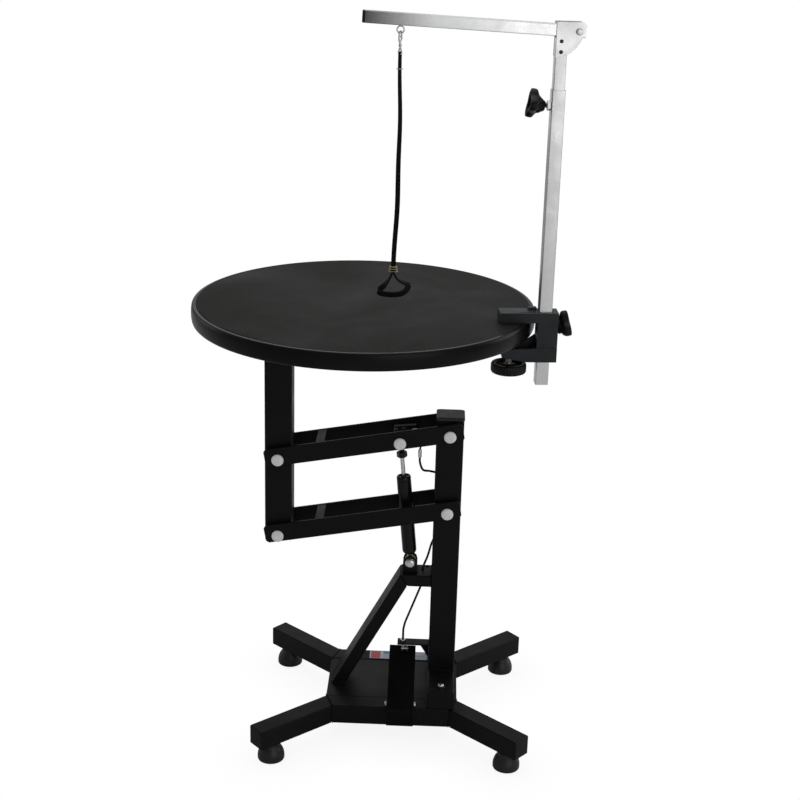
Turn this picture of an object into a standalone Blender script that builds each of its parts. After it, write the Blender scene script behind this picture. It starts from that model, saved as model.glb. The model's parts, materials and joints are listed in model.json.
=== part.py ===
"""Round grooming table on a gas-spring parallelogram lift, with a clamp-on grooming arm.

Metres, +Z up.  The pedal faces -Y and the column stands on the +X side.  The dimensions below are
from the centre of the base; place_origin() then moves everything so that the origin is on the floor
under the middle of the whole outline.  The table is drawn where the lift arms slope ARM_SLOPE.
"""
import math

import bmesh
import bpy
from mathutils import Matrix, Vector

# ---------------------------------------------------------------- driving dimensions
GAP = 0.0003                    # free space left wherever one piece rests on or in another
TUBE = 0.050                    # square tube of the column, the table post and the bracket's depth
WALL = 0.0025                   # wall of the large tubes
OUTLINE_MIDDLE_X = -0.04031     # middle of the whole outline, from the centre of the base

# base
BASE_TUBE = 0.038               # square tube of the legs and crossbars
BASE_TOP = 0.073
BASE_BOTTOM = BASE_TOP - BASE_TUBE
BASE_FRONT = 0.1093             # half depth of the base, and half length of a crossbar's outer face
BASE_SIDE = 0.124               # half width of the base between the legs
SIDE_END = 0.0676               # where the straight side stops and the leg's inner end begins
FOOT_X = 0.2174
FOOT_Y = 0.1786
LEG_ANGLE = math.radians(41.3)  # each leg points this far out of the X axis
LEG_OVERHANG = 0.0345           # leg beyond its foot
FOOT_RADIUS = 0.0248
FOOT_STEM = 0.005
DECK_SHEET = 0.003

# column and its support
COLUMN_X = 0.093
COLUMN_FOOT_TOP = 0.1085
COLUMN_TOP = 0.6190
CAP_TOP = 0.6245
BRACKET_TOP = 0.3075
BRACKET_HEIGHT = 0.023
BRACKET_LEFT = 0.0095
BRACE_ANGLE = math.radians(61.6)

# lift arms
ARM_LENGTH = 0.318
ARM_SLOPE = math.radians(10.2)  # the left end hangs this far below level as drawn
ARM_SPACING = 0.1515
UPPER_PIVOT_Z = 0.5927
LOWER_PIVOT_Z = UPPER_PIVOT_Z - ARM_SPACING
BAR_ABOVE = 0.0228              # bar edge above the line of its pivots
BAR_BELOW = 0.0117
BAR_INNER = 0.0315              # inner face of a bar from the mid plane
BAR_OUTER = 0.0372
BAR_LEFT_END = 0.0235
BAR_RIGHT_END = 0.0255
PIN_RADIUS = 0.005
CAP_RADIUS = 0.01125
TIE_AT = 0.236                  # tie strap from the column pivot, along the bar
TIE_WIDTH = 0.016
TIE_THICK = 0.004

# gas spring
SPRING_ARM = 0.0919             # spring pivot from the column pivot, along the upper bar
SPRING_FOOT = Vector((0.0273, 0.0, 0.327))
CYLINDER_RADIUS = 0.0133
CYLINDER_BORE = 0.0123
CYLINDER_START = 0.0160         # from the lower bolt, along the spring
CYLINDER_END = 0.174
ROD_RADIUS = 0.0039
ROD_LENGTH = 0.195
BLOCK_RADIUS = 0.012
BLOCK_ABOVE = 0.0167
BLOCK_BELOW = 0.0125

# pedal
PEDAL_X = 0.0179
PEDAL_HALF = 0.025
PEDAL_PIVOT = Vector((PEDAL_X, -0.1030, 0.0785))
PEDAL_SHEET = 0.003

# table
TABLE_X = -0.0698
TABLE_RADIUS = 0.305
TABLE_TOP = 0.830
TABLE_BOTTOM = 0.800
MAT_THICK = 0.003
FRAME_HEIGHT = 0.025

# grooming arm: its own axes are u (out of the table), v (to the rear) and z, from the post's axis
ARM_FRAME = Vector((0.2465, -0.0813, 0.0))
ARM_YAW = math.radians(5.0)
POST_SIZE = 0.0225
POST_WALL = 0.0013
INNER_SIZE = 0.0193
INNER_WALL = 0.0012
POST_BOTTOM = 0.717
POST_TOP = 1.2245
INNER_BOTTOM = 0.95
INNER_TOP = 1.3080
BOOM_PIVOT_U = 0.027
BOOM_PIVOT_Z = 1.3185
BOOM_TILT = math.radians(2.7)
BOOM_LENGTH = 0.346
BOOM_TAIL = 0.012
CLAMP_HALF = 0.017
CLAMP_SCREW_U = -0.058
CLAMP_KNOB_Z = 0.8195
POST_KNOB_Z = 1.1985
KNOB_THICK = 0.015
KNOB_STEM = 0.004
TETHER_AT = 0.288               # tether from the boom's pivot, along the boom
RING_RADIUS = 0.0057            # tether ring under the boom, to the middle of its wire
RING_WIRE = 0.0013
HOOK_WIRE = 0.0016
HOOK_WIDTH = 0.010
HOOK_LOW = 1.2765
NOOSE_TOP = 0.9157
NOOSE_BOTTOM = 0.8736

UPPER_PIVOT = Vector((COLUMN_X, 0.0, UPPER_PIVOT_Z))
LOWER_PIVOT = Vector((COLUMN_X, 0.0, LOWER_PIVOT_Z))
ARM_STEP = Vector((-ARM_LENGTH * math.cos(ARM_SLOPE), 0.0, -ARM_LENGTH * math.sin(ARM_SLOPE)))
UPPER_POST_PIVOT = UPPER_PIVOT + ARM_STEP
LOWER_POST_PIVOT = LOWER_PIVOT + ARM_STEP
SPRING_HEAD = UPPER_PIVOT + ARM_STEP * (SPRING_ARM / ARM_LENGTH)
SPRING_TILT = math.atan2(SPRING_HEAD.x - SPRING_FOOT.x, SPRING_HEAD.z - SPRING_FOOT.z)
POST_X = UPPER_POST_PIVOT.x


# ---------------------------------------------------------------- materials
def make_material(name, colour, roughness, metallic=0.0):
    material = bpy.data.materials.new(name)
    material.use_nodes = True
    shader = material.node_tree.nodes["Principled BSDF"]
    shader.inputs["Base Color"].default_value = (*colour, 1.0)
    shader.inputs["Roughness"].default_value = roughness
    shader.inputs["Metallic"].default_value = metallic
    material.diffuse_color = (*colour, 1.0)
    return material


# ---------------------------------------------------------------- mesh builders
def loop_faces(bm, lower, upper):
    """Quads between two closed loops of the same length."""
    count = len(lower)
    for index in range(count):
        following = (index + 1) % count
        bm.faces.new((lower[index], lower[following], upper[following], upper[index]))


def prism(outline, low, high, axis="Y"):
    """A flat outline pushed along one axis: an X-Z outline along Y, or an X-Y outline along Z."""
    bm = bmesh.new()
    rings = []
    for depth in (low, high):
        if axis == "Y":
            points = [(a, depth, b) for a, b in outline]
        elif axis == "Z":
            points = [(a, b, depth) for a, b in outline]
        else:
            points = [(depth, a, b) for a, b in outline]
        rings.append([bm.verts.new(point) for point in points])
    loop_faces(bm, rings[0], rings[1])
    bm.faces.new(rings[0])
    bm.faces.new(rings[1])
    return bm


def box(low, high):
    outline = [(low[0], low[1]), (high[0], low[1]), (high[0], high[1]), (low[0], high[1])]
    return prism(outline, low[2], high[2], "Z")


def rounded_square(half_x, half_y, radius, steps=2):
    """Points around a square with round corners."""
    points = []
    for quarter in range(4):
        angle = math.radians(90 * quarter)
        corner_x = (half_x - radius) * (1 if quarter in (0, 3) else -1)
        corner_y = (half_y - radius) * (1 if quarter in (0, 1) else -1)
        for step in range(steps + 1):
            turn = angle + math.radians(90) * step / steps
            points.append((corner_x + radius * math.cos(turn), corner_y + radius * math.sin(turn)))
    return points


def square_tube(half_x, half_y, wall, low, high, radius=0.003):
    """A square tube standing on Z, open at both ends."""
    bm = bmesh.new()
    outer = rounded_square(half_x, half_y, radius)
    inner = rounded_square(half_x - wall, half_y - wall, max(radius - wall, 0.0004))
    rings = []
    for outline, height in ((outer, low), (outer, high), (inner, high), (inner, low)):
        rings.append([bm.verts.new((x, y, height)) for x, y in outline])
    for index in range(4):
        loop_faces(bm, rings[index], rings[(index + 1) % 4])
    return bm


def stacked_block(levels, radius=0.003):
    """A solid of rounded squares of different size, one above the other: (half size, height)."""
    bm = bmesh.new()
    rings = []
    for half, height in levels:
        outline = rounded_square(half, half, min(radius, half * 0.5))
        rings.append([bm.verts.new((x, y, height)) for x, y in outline])
    for lower, upper in zip(rings, rings[1:]):
        loop_faces(bm, lower, upper)
    bm.faces.new(rings[0])
    bm.faces.new(rings[-1])
    return bm


def turned(profile, segments=28, closed=False):
    """A profile of (radius, height) points turned about Z.  Radius 0 makes a pole."""
    bm = bmesh.new()
    rings = []
    for radius, height in profile:
        if radius == 0:
            rings.append([bm.verts.new((0.0, 0.0, height))])
            continue
        ring = []
        for index in range(segments):
            angle = 2 * math.pi * index / segments
            ring.append(bm.verts.new((radius * math.cos(angle), radius * math.sin(angle), height)))
        rings.append(ring)
    pairs = list(zip(rings, rings[1:]))
    if closed:
        pairs.append((rings[-1], rings[0]))
    for lower, upper in pairs:
        for index in range(segments):
            following = (index + 1) % segments
            if len(lower) == 1:
                bm.faces.new((lower[0], upper[following], upper[index]))
            elif len(upper) == 1:
                bm.faces.new((lower[index], lower[following], upper[0]))
            else:
                bm.faces.new((lower[index], lower[following], upper[following], upper[index]))
    return bm


def rod(radius, low, high, segments=20):
    return turned([(0, low), (radius, low), (radius, high), (0, high)], segments)


def wire_loop(outline, radius, sides=6):
    """A round wire bent round a closed outline in the X-Z plane."""
    bm = bmesh.new()
    count = len(outline)
    rings = []
    for index in range(count):
        here = Vector((outline[index][0], 0.0, outline[index][1]))
        ahead = outline[(index + 1) % count]
        behind = outline[index - 1]
        along = Vector((ahead[0] - behind[0], 0.0, ahead[1] - behind[1])).normalized()
        outward = Vector((along.z, 0.0, -along.x))
        ring = []
        for side in range(sides):
            angle = 2 * math.pi * side / sides
            offset = outward * math.cos(angle) + Vector((0.0, 1.0, 0.0)) * math.sin(angle)
            ring.append(bm.verts.new(here + offset * radius))
        rings.append(ring)
    for index in range(count):
        loop_faces(bm, rings[index], rings[(index + 1) % count])
    return bm


def star_outline(lobes, outer, inner, steps=6):
    """A knob's outline: rounded lobes between the inner and the outer radius."""
    points = []
    for index in range(lobes * steps):
        angle = 2 * math.pi * index / (lobes * steps)
        wave = 0.5 + 0.5 * math.cos(lobes * angle)
        radius = inner + (outer - inner) * wave
        points.append((radius * math.cos(angle), radius * math.sin(angle)))
    return points


def turn_z_to(bm, axis):
    """Turn a shape built along Z so that it runs along X or Y."""
    if axis == "Y":
        bmesh.ops.rotate(bm, matrix=Matrix.Rotation(math.radians(-90), 3, "X"), verts=bm.verts)
    else:
        bmesh.ops.rotate(bm, matrix=Matrix.Rotation(math.radians(90), 3, "Y"), verts=bm.verts)
    return bm


def moved(bm, offset):
    bmesh.ops.translate(bm, vec=Vector(offset), verts=bm.verts)
    return bm


# ---------------------------------------------------------------- objects
def make_object(name, bm, material=None, origin=(0, 0, 0), rotation=(0, 0, 0), parent=None,
                smooth=False):
    """Turn a mesh into a named object whose origin, usually a joint's axis, is at `origin`."""
    bmesh.ops.recalc_face_normals(bm, faces=bm.faces)
    mesh = bpy.data.meshes.new(name)
    bm.to_mesh(mesh)
    bm.free()
    if smooth:
        mesh.shade_smooth()
        mesh.set_sharp_from_angle(angle=math.radians(35))
    thing = bpy.data.objects.new(name, mesh)
    bpy.context.scene.collection.objects.link(thing)
    thing.location = origin
    thing.rotation_euler = rotation
    thing.parent = parent
    if material is not None:
        mesh.materials.append(material)
    return thing


def make_frame(name, location, rotation=(0, 0, 0), parent=None):
    """An empty that carries the pieces turning about it."""
    frame = bpy.data.objects.new(name, None)
    bpy.context.scene.collection.objects.link(frame)
    frame.location = location
    frame.rotation_euler = rotation
    frame.parent = parent
    return frame


def cutter(name, bm, **placing):
    """A hidden solid that Booleans take away or add."""
    tool = make_object(name, bm, None, **placing)
    tool.hide_render = True
    tool.display_type = "WIRE"
    return tool


def combine(thing, tool, operation="DIFFERENCE"):
    modifier = thing.modifiers.new(tool.name, "BOOLEAN")
    modifier.operation = operation
    modifier.solver = "EXACT"
    modifier.object = tool


def soften(thing, width, segments=1):
    modifier = thing.modifiers.new("edge", "BEVEL")
    modifier.width = width
    modifier.segments = segments
    modifier.limit_method = "ANGLE"
    modifier.angle_limit = math.radians(50)


# ---------------------------------------------------------------- base
def chamfer_point(side_line_point, direction):
    """Where a leg's side line meets the slanting inner end between the base's front and side."""
    start = Vector((BASE_FRONT + GAP, BASE_FRONT + GAP))
    end = Vector((BASE_SIDE + GAP, SIDE_END + GAP))
    span = end - start
    offset = side_line_point - start
    share = (offset.x * direction.y - offset.y * direction.x)
    share /= (span.x * direction.y - span.y * direction.x)
    return start + span * share


def build_base(black):
    ends_at = BASE_FRONT - BASE_TUBE
    slant = (BASE_FRONT - ends_at) / (BASE_FRONT - SIDE_END)
    inner_x = BASE_FRONT + (BASE_SIDE - BASE_FRONT) * slant
    for name, side in (("front_crossbar", -1), ("rear_crossbar", 1)):
        outline = [(-BASE_FRONT, side * BASE_FRONT), (BASE_FRONT, side * BASE_FRONT),
                   (inner_x, side * ends_at), (-inner_x, side * ends_at)]
        bar = make_object(name, prism(outline, BASE_BOTTOM, BASE_TOP, "Z"), black)
        soften(bar, 0.002)
        inside = BASE_TUBE / 2 - WALL
        middle = side * (BASE_FRONT - BASE_TUBE / 2)
        height = BASE_TOP - BASE_TUBE / 2
        bore = box((-0.2, middle - inside, height - inside), (0.2, middle + inside, height + inside))
        combine(bar, cutter(name + "_bore", bore))

    half_y = ends_at - GAP
    outline = [(BASE_SIDE, SIDE_END), (inner_x - GAP, half_y), (GAP - inner_x, half_y),
               (-BASE_SIDE, SIDE_END), (-BASE_SIDE, -SIDE_END), (GAP - inner_x, -half_y),
               (inner_x - GAP, -half_y), (BASE_SIDE, -SIDE_END)]
    deck_top = BASE_TOP - 0.0008
    deck = make_object("deck_plate", prism(outline, BASE_BOTTOM, deck_top, "Z"), black)
    hollow = box((DECK_SHEET - BASE_SIDE, DECK_SHEET - half_y, 0.0),
                 (BASE_SIDE - DECK_SHEET, half_y - DECK_SHEET, deck_top - DECK_SHEET))
    combine(deck, cutter("deck_hollow", hollow))


def leg_outline(sign_x, sign_y, inset=0.0, reach=0.0):
    """Plan of one leg: its long sides run out from the base's corner to the far end."""
    direction = Vector((math.cos(LEG_ANGLE), math.sin(LEG_ANGLE)))
    across = Vector((-direction.y, direction.x))
    foot = Vector((FOOT_X, FOOT_Y))
    half = BASE_TUBE / 2 - inset
    far = foot + direction * (LEG_OVERHANG - inset)
    near_left = chamfer_point(foot + across * half, direction) - direction * reach
    near_right = chamfer_point(foot - across * half, direction) - direction * reach
    corners = [far + across * half, far - across * half, near_right, near_left]
    return [(corner.x * sign_x, corner.y * sign_y) for corner in corners]


def foot_profile():
    """Rubber foot from its sole up to the threaded stem inside the leg."""
    return [(0, 0.0), (FOOT_RADIUS - 0.002, 0.0), (FOOT_RADIUS, 0.0025), (FOOT_RADIUS, 0.009),
            (0.0236, 0.015), (0.0212, 0.021), (0.0180, 0.026), (0.0165, 0.0285), (0.0165, 0.0335),
            (FOOT_STEM, 0.0335), (FOOT_STEM, 0.060), (0, 0.060)]


def build_legs_and_feet(black, rubber):
    for across, sign_x in (("left", -1), ("right", 1)):
        for along, sign_y in (("front", -1), ("rear", 1)):
            name = along + "_" + across
            place = (sign_x * FOOT_X, sign_y * FOOT_Y, 0.0)
            solid = prism(leg_outline(sign_x, sign_y), BASE_BOTTOM, BASE_TOP, "Z")
            leg = make_object("leg_" + name, solid, black)
            soften(leg, 0.002)
            hollow = prism(leg_outline(sign_x, sign_y, WALL, 0.02), BASE_BOTTOM + WALL,
                           BASE_TOP - WALL, "Z")
            combine(leg, cutter("hollow_" + name, hollow))
            hole = rod(FOOT_STEM + GAP, 0.02, 0.045, 20)
            combine(leg, cutter("stem_hole_" + name, hole, origin=place))
            make_object("foot_" + name, turned(foot_profile(), 20), rubber, place, smooth=True)


# ---------------------------------------------------------------- column and what it carries
def build_column(black, grey):
    half = TUBE / 2
    foot = prism([(COLUMN_X - half, BASE_TOP + GAP), (COLUMN_X + half, BASE_TOP + GAP),
                  (COLUMN_X + half, COLUMN_FOOT_TOP), (COLUMN_X - half, COLUMN_FOOT_TOP)],
                 -BASE_FRONT, BASE_FRONT)
    shoe = make_object("column_foot", foot, black)
    soften(shoe, 0.002)
    hollow = box((COLUMN_X - half + WALL, WALL - BASE_FRONT, BASE_TOP - 0.01),
                 (COLUMN_X + half - WALL, BASE_FRONT - WALL, COLUMN_FOOT_TOP - WALL))
    combine(shoe, cutter("column_foot_hollow", hollow))

    tube = square_tube(half, half, WALL, COLUMN_FOOT_TOP + GAP, COLUMN_TOP)
    column = make_object("column", tube, black, (COLUMN_X, 0, 0))
    for name, height in (("upper", UPPER_PIVOT_Z), ("lower", LOWER_PIVOT_Z)):
        hole = turn_z_to(rod(PIN_RADIUS + GAP, -0.04, 0.04, 20), "Y")
        combine(column, cutter("column_hole_" + name, hole, origin=(COLUMN_X, 0, height)))

    plug = half - WALL - GAP
    levels = [(plug, COLUMN_TOP - 0.012), (plug, COLUMN_TOP + GAP), (half + 0.001, COLUMN_TOP + GAP),
              (half + 0.001, CAP_TOP - 0.0015), (half - 0.0015, CAP_TOP)]
    make_object("column_cap", stacked_block(levels, 0.004), grey, (COLUMN_X, 0, 0))


def build_support(black):
    """The level bracket and the slanting brace, mitred together at the bracket's left end."""
    half = TUBE / 2
    right = COLUMN_X - half - GAP
    bottom = BRACKET_TOP - BRACKET_HEIGHT
    run = 1 / math.tan(BRACE_ANGLE)
    inner_corner = BRACKET_LEFT + BRACKET_HEIGHT * math.tan(BRACE_ANGLE / 2)
    outline = [(BRACKET_LEFT, BRACKET_TOP), (right, BRACKET_TOP), (right, bottom),
               (inner_corner, bottom)]
    bracket = make_object("support_bracket", prism(outline, -half, half), black)
    soften(bracket, 0.0015)
    bore = box((0.034, WALL - half, bottom + WALL), (right + 0.01, half - WALL, BRACKET_TOP - WALL))
    combine(bracket, cutter("bracket_bore", bore))
    for name, place in (("cable", (0.0510, 0.0028)), ("spare", (0.0600, 0.0165))):
        hole = rod(0.0034, 0.26, 0.33, 16)
        combine(bracket, cutter("bracket_hole_" + name, hole, origin=(*place, 0)))

    floor = BASE_TOP + GAP
    shift = 2 * GAP
    outline = [(BRACKET_LEFT - shift * run, BRACKET_TOP - shift),
               (inner_corner - shift * run, bottom - shift),
               (inner_corner - (bottom - floor) * run, floor),
               (BRACKET_LEFT - (BRACKET_TOP - floor) * run, floor)]
    brace = make_object("brace", prism(outline, -half, half), black)
    soften(brace, 0.0015)


def build_spring_mount(black, zinc):
    base_low = BRACKET_TOP + GAP
    sheet = 0.004
    cheek_in = 0.0080
    cheek_radius = 0.0135
    outline = []
    for angle in range(0, 181, 30):
        turn = math.radians(angle)
        outline.append((SPRING_FOOT.x + cheek_radius * math.cos(turn),
                        SPRING_FOOT.z + cheek_radius * math.sin(turn)))
    outline += [(SPRING_FOOT.x - cheek_radius, base_low), (SPRING_FOOT.x + cheek_radius, base_low)]
    clevis = make_object("spring_clevis", prism(outline, -cheek_in - sheet, cheek_in + sheet), black)
    slot = box((-0.02, -cheek_in, base_low + sheet - SPRING_FOOT.z), (0.02, cheek_in, 0.03))
    combine(clevis, cutter("clevis_slot", slot, origin=SPRING_FOOT))
    hole = turn_z_to(rod(PIN_RADIUS + GAP, -0.03, 0.03, 20), "Y")
    combine(clevis, cutter("clevis_hole", hole, origin=SPRING_FOOT))

    face = cheek_in + sheet + GAP
    profile = [(0, -face - 0.0065), (0.0080, -face - 0.0065), (0.0094, -face - 0.0050),
               (0.0094, -face), (PIN_RADIUS, -face), (PIN_RADIUS, face), (0.0088, face),
               (0.0088, face + 0.006), (0, face + 0.006)]
    make_object("spring_bolt", turn_z_to(turned(profile, 24), "Y"), zinc, SPRING_FOOT, smooth=True)


def build_cable_bracket(black):
    right = COLUMN_X - TUBE / 2 - GAP
    plate = prism([(0.0076, 0.1525), (right, 0.1525), (right, 0.1555), (0.0076, 0.1555)],
                  -0.011, 0.011)
    bracket = make_object("cable_bracket", plate, black)
    web = prism([(0.0480, 0.1540), (right, 0.1540), (right, 0.1220)], -0.0015, 0.0015)
    combine(bracket, cutter("cable_bracket_web", web), "UNION")
    hole = rod(0.0034, 0.14, 0.17, 16)
    combine(bracket, cutter("cable_bracket_hole", hole, origin=(PEDAL_X, 0, 0)))


def sweep_cable(name, points, radius, material):
    """A round flexible piece along a smooth line through the given points."""
    curve = bpy.data.curves.new(name, "CURVE")
    curve.dimensions = "3D"
    curve.bevel_depth = radius
    curve.bevel_resolution = 1
    curve.use_fill_caps = True
    curve.resolution_u = 3
    curve.render_resolution_u = 0
    line = curve.splines.new("NURBS")
    line.order_u = 3
    line.use_endpoint_u = True
    line.points.add(len(points) - 1)
    for point, place in zip(line.points, points):
        point.co = (*place, 1.0)
    curve.materials.append(material)
    thing = bpy.data.objects.new(name, curve)
    bpy.context.scene.collection.objects.link(thing)
    return thing


def build_cables(black):
    behind = TUBE / 2 + 0.0033
    upper = [(0.0395, 0, 0.5450), (0.0410, 0.001, 0.5250), (0.0480, 0.010, 0.5090),
             (0.0600, 0.026, 0.5010), (0.0750, behind, 0.4960), (0.0795, behind, 0.4750),
             (0.0795, behind, 0.4303)]
    lower = [(0.0795, behind, 0.4300), (0.0795, behind, 0.3900), (0.0740, behind, 0.3700),
             (0.0660, 0.0285, 0.3500), (0.0600, 0.0160, 0.3300), (0.0510, 0.0028, 0.3120),
             (0.0510, 0.0028, 0.2800), (0.0445, 0.0010, 0.2620), (0.0330, 0, 0.2300),
             (0.0205, 0, 0.1950), (PEDAL_X, 0, 0.1800), (PEDAL_X, 0, 0.1480)]
    sweep_cable("cable_upper", upper, 0.0021, black)
    sweep_cable("cable_lower", lower, 0.0021, black)


# ---------------------------------------------------------------- pedal
def build_pedal(black, zinc):
    """Foot plate hinged above the front crossbar, rising to the rear, with a lip in front."""
    lug_half_y = 0.008
    lug_radius = 0.0060
    pin = 0.0030
    top = PEDAL_PIVOT.z + 0.0045
    outline = []
    for angle in range(0, 181, 30):
        turn = math.radians(angle)
        outline.append((PEDAL_PIVOT.y + lug_radius * math.cos(turn),
                        PEDAL_PIVOT.z - lug_radius / 4 + lug_radius * math.sin(turn)))
    base_low = BASE_TOP + GAP
    outline += [(PEDAL_PIVOT.y - lug_half_y, base_low), (PEDAL_PIVOT.y + lug_half_y, base_low)]
    lugs_half = 0.0165
    lugs = make_object("pedal_bracket", prism(outline, PEDAL_X - lugs_half, PEDAL_X + lugs_half, "X"),
                       black)
    slot = box((-0.0125, -0.02, -0.0038), (0.0125, 0.02, 0.02))
    combine(lugs, cutter("pedal_bracket_slot", slot, origin=PEDAL_PIVOT))
    hole = turn_z_to(rod(pin + GAP, -0.03, 0.03, 16), "X")
    combine(lugs, cutter("pedal_bracket_hole", hole, origin=PEDAL_PIVOT))

    head = PEDAL_HALF + 0.0012
    profile = [(0, -head - 0.0042), (0.0030, -head - 0.0038), (0.0048, -head - 0.0022),
               (0.0052, -head), (pin, -head), (pin, head), (0.0052, head),
               (0.0048, head + 0.0022), (0.0030, head + 0.0038), (0, head + 0.0042)]
    make_object("pedal_pin", turn_z_to(turned(profile, 20), "X"), zinc, PEDAL_PIVOT, smooth=True)

    rear = (0.0, 0.1465)
    bend = (-0.118, top + 0.0010)
    slope = math.atan2(rear[1] - bend[1], rear[0] - bend[0])
    down = (math.sin(slope) * PEDAL_SHEET, -math.cos(slope) * PEDAL_SHEET)
    front = -0.143
    outline = [rear, bend, (front + 0.003, bend[1] - 0.002), (front, bend[1] - 0.006),
               (front, 0.0550), (front + PEDAL_SHEET, 0.0550),
               (front + PEDAL_SHEET, bend[1] - 0.0065), (bend[0], bend[1] - PEDAL_SHEET),
               (rear[0] + down[0], rear[1] + down[1])]
    plate = prism([(a - PEDAL_PIVOT.y, b - PEDAL_PIVOT.z) for a, b in outline],
                  -PEDAL_HALF, PEDAL_HALF, "X")
    pedal = make_object("pedal", plate, black, PEDAL_PIVOT)
    for side in (-1, 1):
        sheet = sorted((side * (PEDAL_HALF - PEDAL_SHEET), side * PEDAL_HALF))
        flange = prism([(-0.010, -0.0045), (0.006, -0.0045), (0.050, 0.0260), (0.050, 0.0385),
                        (-0.010, 0.0068)], sheet[0], sheet[1], "X")
        label = "right" if side > 0 else "left"
        combine(pedal, cutter("pedal_flange_" + label, flange, origin=PEDAL_PIVOT), "UNION")
    hole = turn_z_to(rod(pin + GAP, -0.04, 0.04, 16), "X")
    combine(pedal, cutter("pedal_hole", hole, origin=PEDAL_PIVOT))


# ---------------------------------------------------------------- lift arms
def bar_outline():
    left = -ARM_LENGTH - BAR_LEFT_END
    round_off = 0.005
    return [(BAR_RIGHT_END, -BAR_BELOW + round_off), (BAR_RIGHT_END, BAR_ABOVE - round_off),
            (BAR_RIGHT_END - round_off, BAR_ABOVE), (left + round_off, BAR_ABOVE),
            (left, BAR_ABOVE - round_off), (left, -BAR_BELOW + round_off),
            (left + round_off, -BAR_BELOW), (BAR_RIGHT_END - round_off, -BAR_BELOW)]


def pivot_pin_profile():
    """A pin through the mid plane, with a domed nylon cap pressed on at each end."""
    seat = BAR_OUTER + GAP
    half = [(PIN_RADIUS, seat), (CAP_RADIUS, seat), (CAP_RADIUS, seat + 0.0015),
            (CAP_RADIUS - 0.0012, seat + 0.0035), (CAP_RADIUS - 0.0045, seat + 0.0048),
            (0, seat + 0.0052)]
    mirrored = [(radius, -height) for radius, height in reversed(half)]
    return mirrored + half


def make_pin(name, place, nylon):
    make_object(name, turn_z_to(turned(pivot_pin_profile(), 16), "Y"), nylon, place, smooth=True)


def build_arm(prefix, pivot, hole_places, black):
    slope = (0, -ARM_SLOPE, 0)
    for side_name, low, high in (("front", -BAR_OUTER, -BAR_INNER), ("rear", BAR_INNER, BAR_OUTER)):
        name = prefix + "_bar_" + side_name
        bar = make_object(name, prism(bar_outline(), low, high), black, pivot, slope)
        soften(bar, 0.0008)
        for index, place in enumerate(hole_places):
            hole = moved(turn_z_to(rod(PIN_RADIUS + GAP, -0.05, 0.05, 20), "Y"), (-place, 0, 0))
            tool = cutter(name + "_hole_" + str(index), hole, origin=pivot, rotation=slope)
            combine(bar, tool)
    half = BAR_INNER - GAP
    tie = box((-TIE_AT - TIE_WIDTH / 2, -half, BAR_ABOVE - 0.0005 - TIE_THICK),
              (-TIE_AT + TIE_WIDTH / 2, half, BAR_ABOVE - 0.0005))
    make_object(prefix + "_tie", tie, black, pivot, slope)


def build_arms(black, nylon):
    build_arm("upper", UPPER_PIVOT, (0.0, ARM_LENGTH, SPRING_ARM), black)
    build_arm("lower", LOWER_PIVOT, (0.0, ARM_LENGTH), black)
    make_pin("upper_column_pin", UPPER_PIVOT, nylon)
    make_pin("lower_column_pin", LOWER_PIVOT, nylon)
    make_pin("upper_post_pin", UPPER_POST_PIVOT, nylon)
    make_pin("lower_post_pin", LOWER_POST_PIVOT, nylon)
    make_pin("spring_top_pin", SPRING_HEAD, nylon)


# ---------------------------------------------------------------- gas spring
def build_spring(black, brass, chrome, steel):
    tilt = (0, SPRING_TILT, 0)
    eye_half = 0.0070
    eye = make_object("spring_eye", turn_z_to(rod(0.0108, -eye_half, eye_half, 20), "Y"), brass,
                      SPRING_FOOT, tilt, smooth=True)
    stud = rod(0.0055, 0.006, CYLINDER_START - GAP, 20)
    combine(eye, cutter("spring_eye_stud", stud, origin=SPRING_FOOT, rotation=tilt), "UNION")
    hole = turn_z_to(rod(PIN_RADIUS + GAP, -0.02, 0.02, 20), "Y")
    combine(eye, cutter("spring_eye_hole", hole, origin=SPRING_FOOT, rotation=tilt))

    shoulder = CYLINDER_START + 0.006
    bore_low = CYLINDER_START + 0.008
    profile = [(0, CYLINDER_START), (0.0085, CYLINDER_START), (CYLINDER_RADIUS, shoulder),
               (CYLINDER_RADIUS, CYLINDER_END), (CYLINDER_BORE, CYLINDER_END),
               (CYLINDER_BORE, bore_low), (0, bore_low)]
    make_object("spring_cylinder", turned(profile, 24), black, SPRING_FOOT, tilt, smooth=True)

    collar_low = -0.0396
    collar_high = -0.0271
    profile = [(0, -ROD_LENGTH), (ROD_RADIUS, -ROD_LENGTH), (ROD_RADIUS, collar_low),
               (0.0086, collar_low), (0.0093, collar_low + 0.001), (0.0093, collar_high - 0.001),
               (0.0086, collar_high), (0.0050, collar_high), (0.0050, -BLOCK_BELOW - GAP),
               (0, -BLOCK_BELOW - GAP)]
    make_object("spring_rod", turned(profile, 16), chrome, SPRING_HEAD, tilt, smooth=True)

    profile = [(0, -BLOCK_BELOW), (BLOCK_RADIUS - 0.001, -BLOCK_BELOW),
               (BLOCK_RADIUS, -BLOCK_BELOW + 0.001), (BLOCK_RADIUS, BLOCK_ABOVE - 0.001),
               (BLOCK_RADIUS - 0.001, BLOCK_ABOVE), (0, BLOCK_ABOVE)]
    block = make_object("spring_top_block", turned(profile, 20), black, SPRING_HEAD, tilt,
                        smooth=True)
    hole = turn_z_to(rod(PIN_RADIUS + GAP, -0.02, 0.02, 20), "Y")
    combine(block, cutter("block_hole", hole, origin=SPRING_HEAD, rotation=tilt))

    lever_low = BLOCK_ABOVE + 0.0027
    lever = box((0.0, -0.005, -0.0013), (0.041, 0.005, 0.0013))
    pivot = Matrix.Rotation(SPRING_TILT, 3, "Y") @ Vector((-0.0105, 0.0, lever_low + 0.0013))
    make_object("release_lever", lever, steel, SPRING_HEAD + pivot, tilt)


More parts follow.
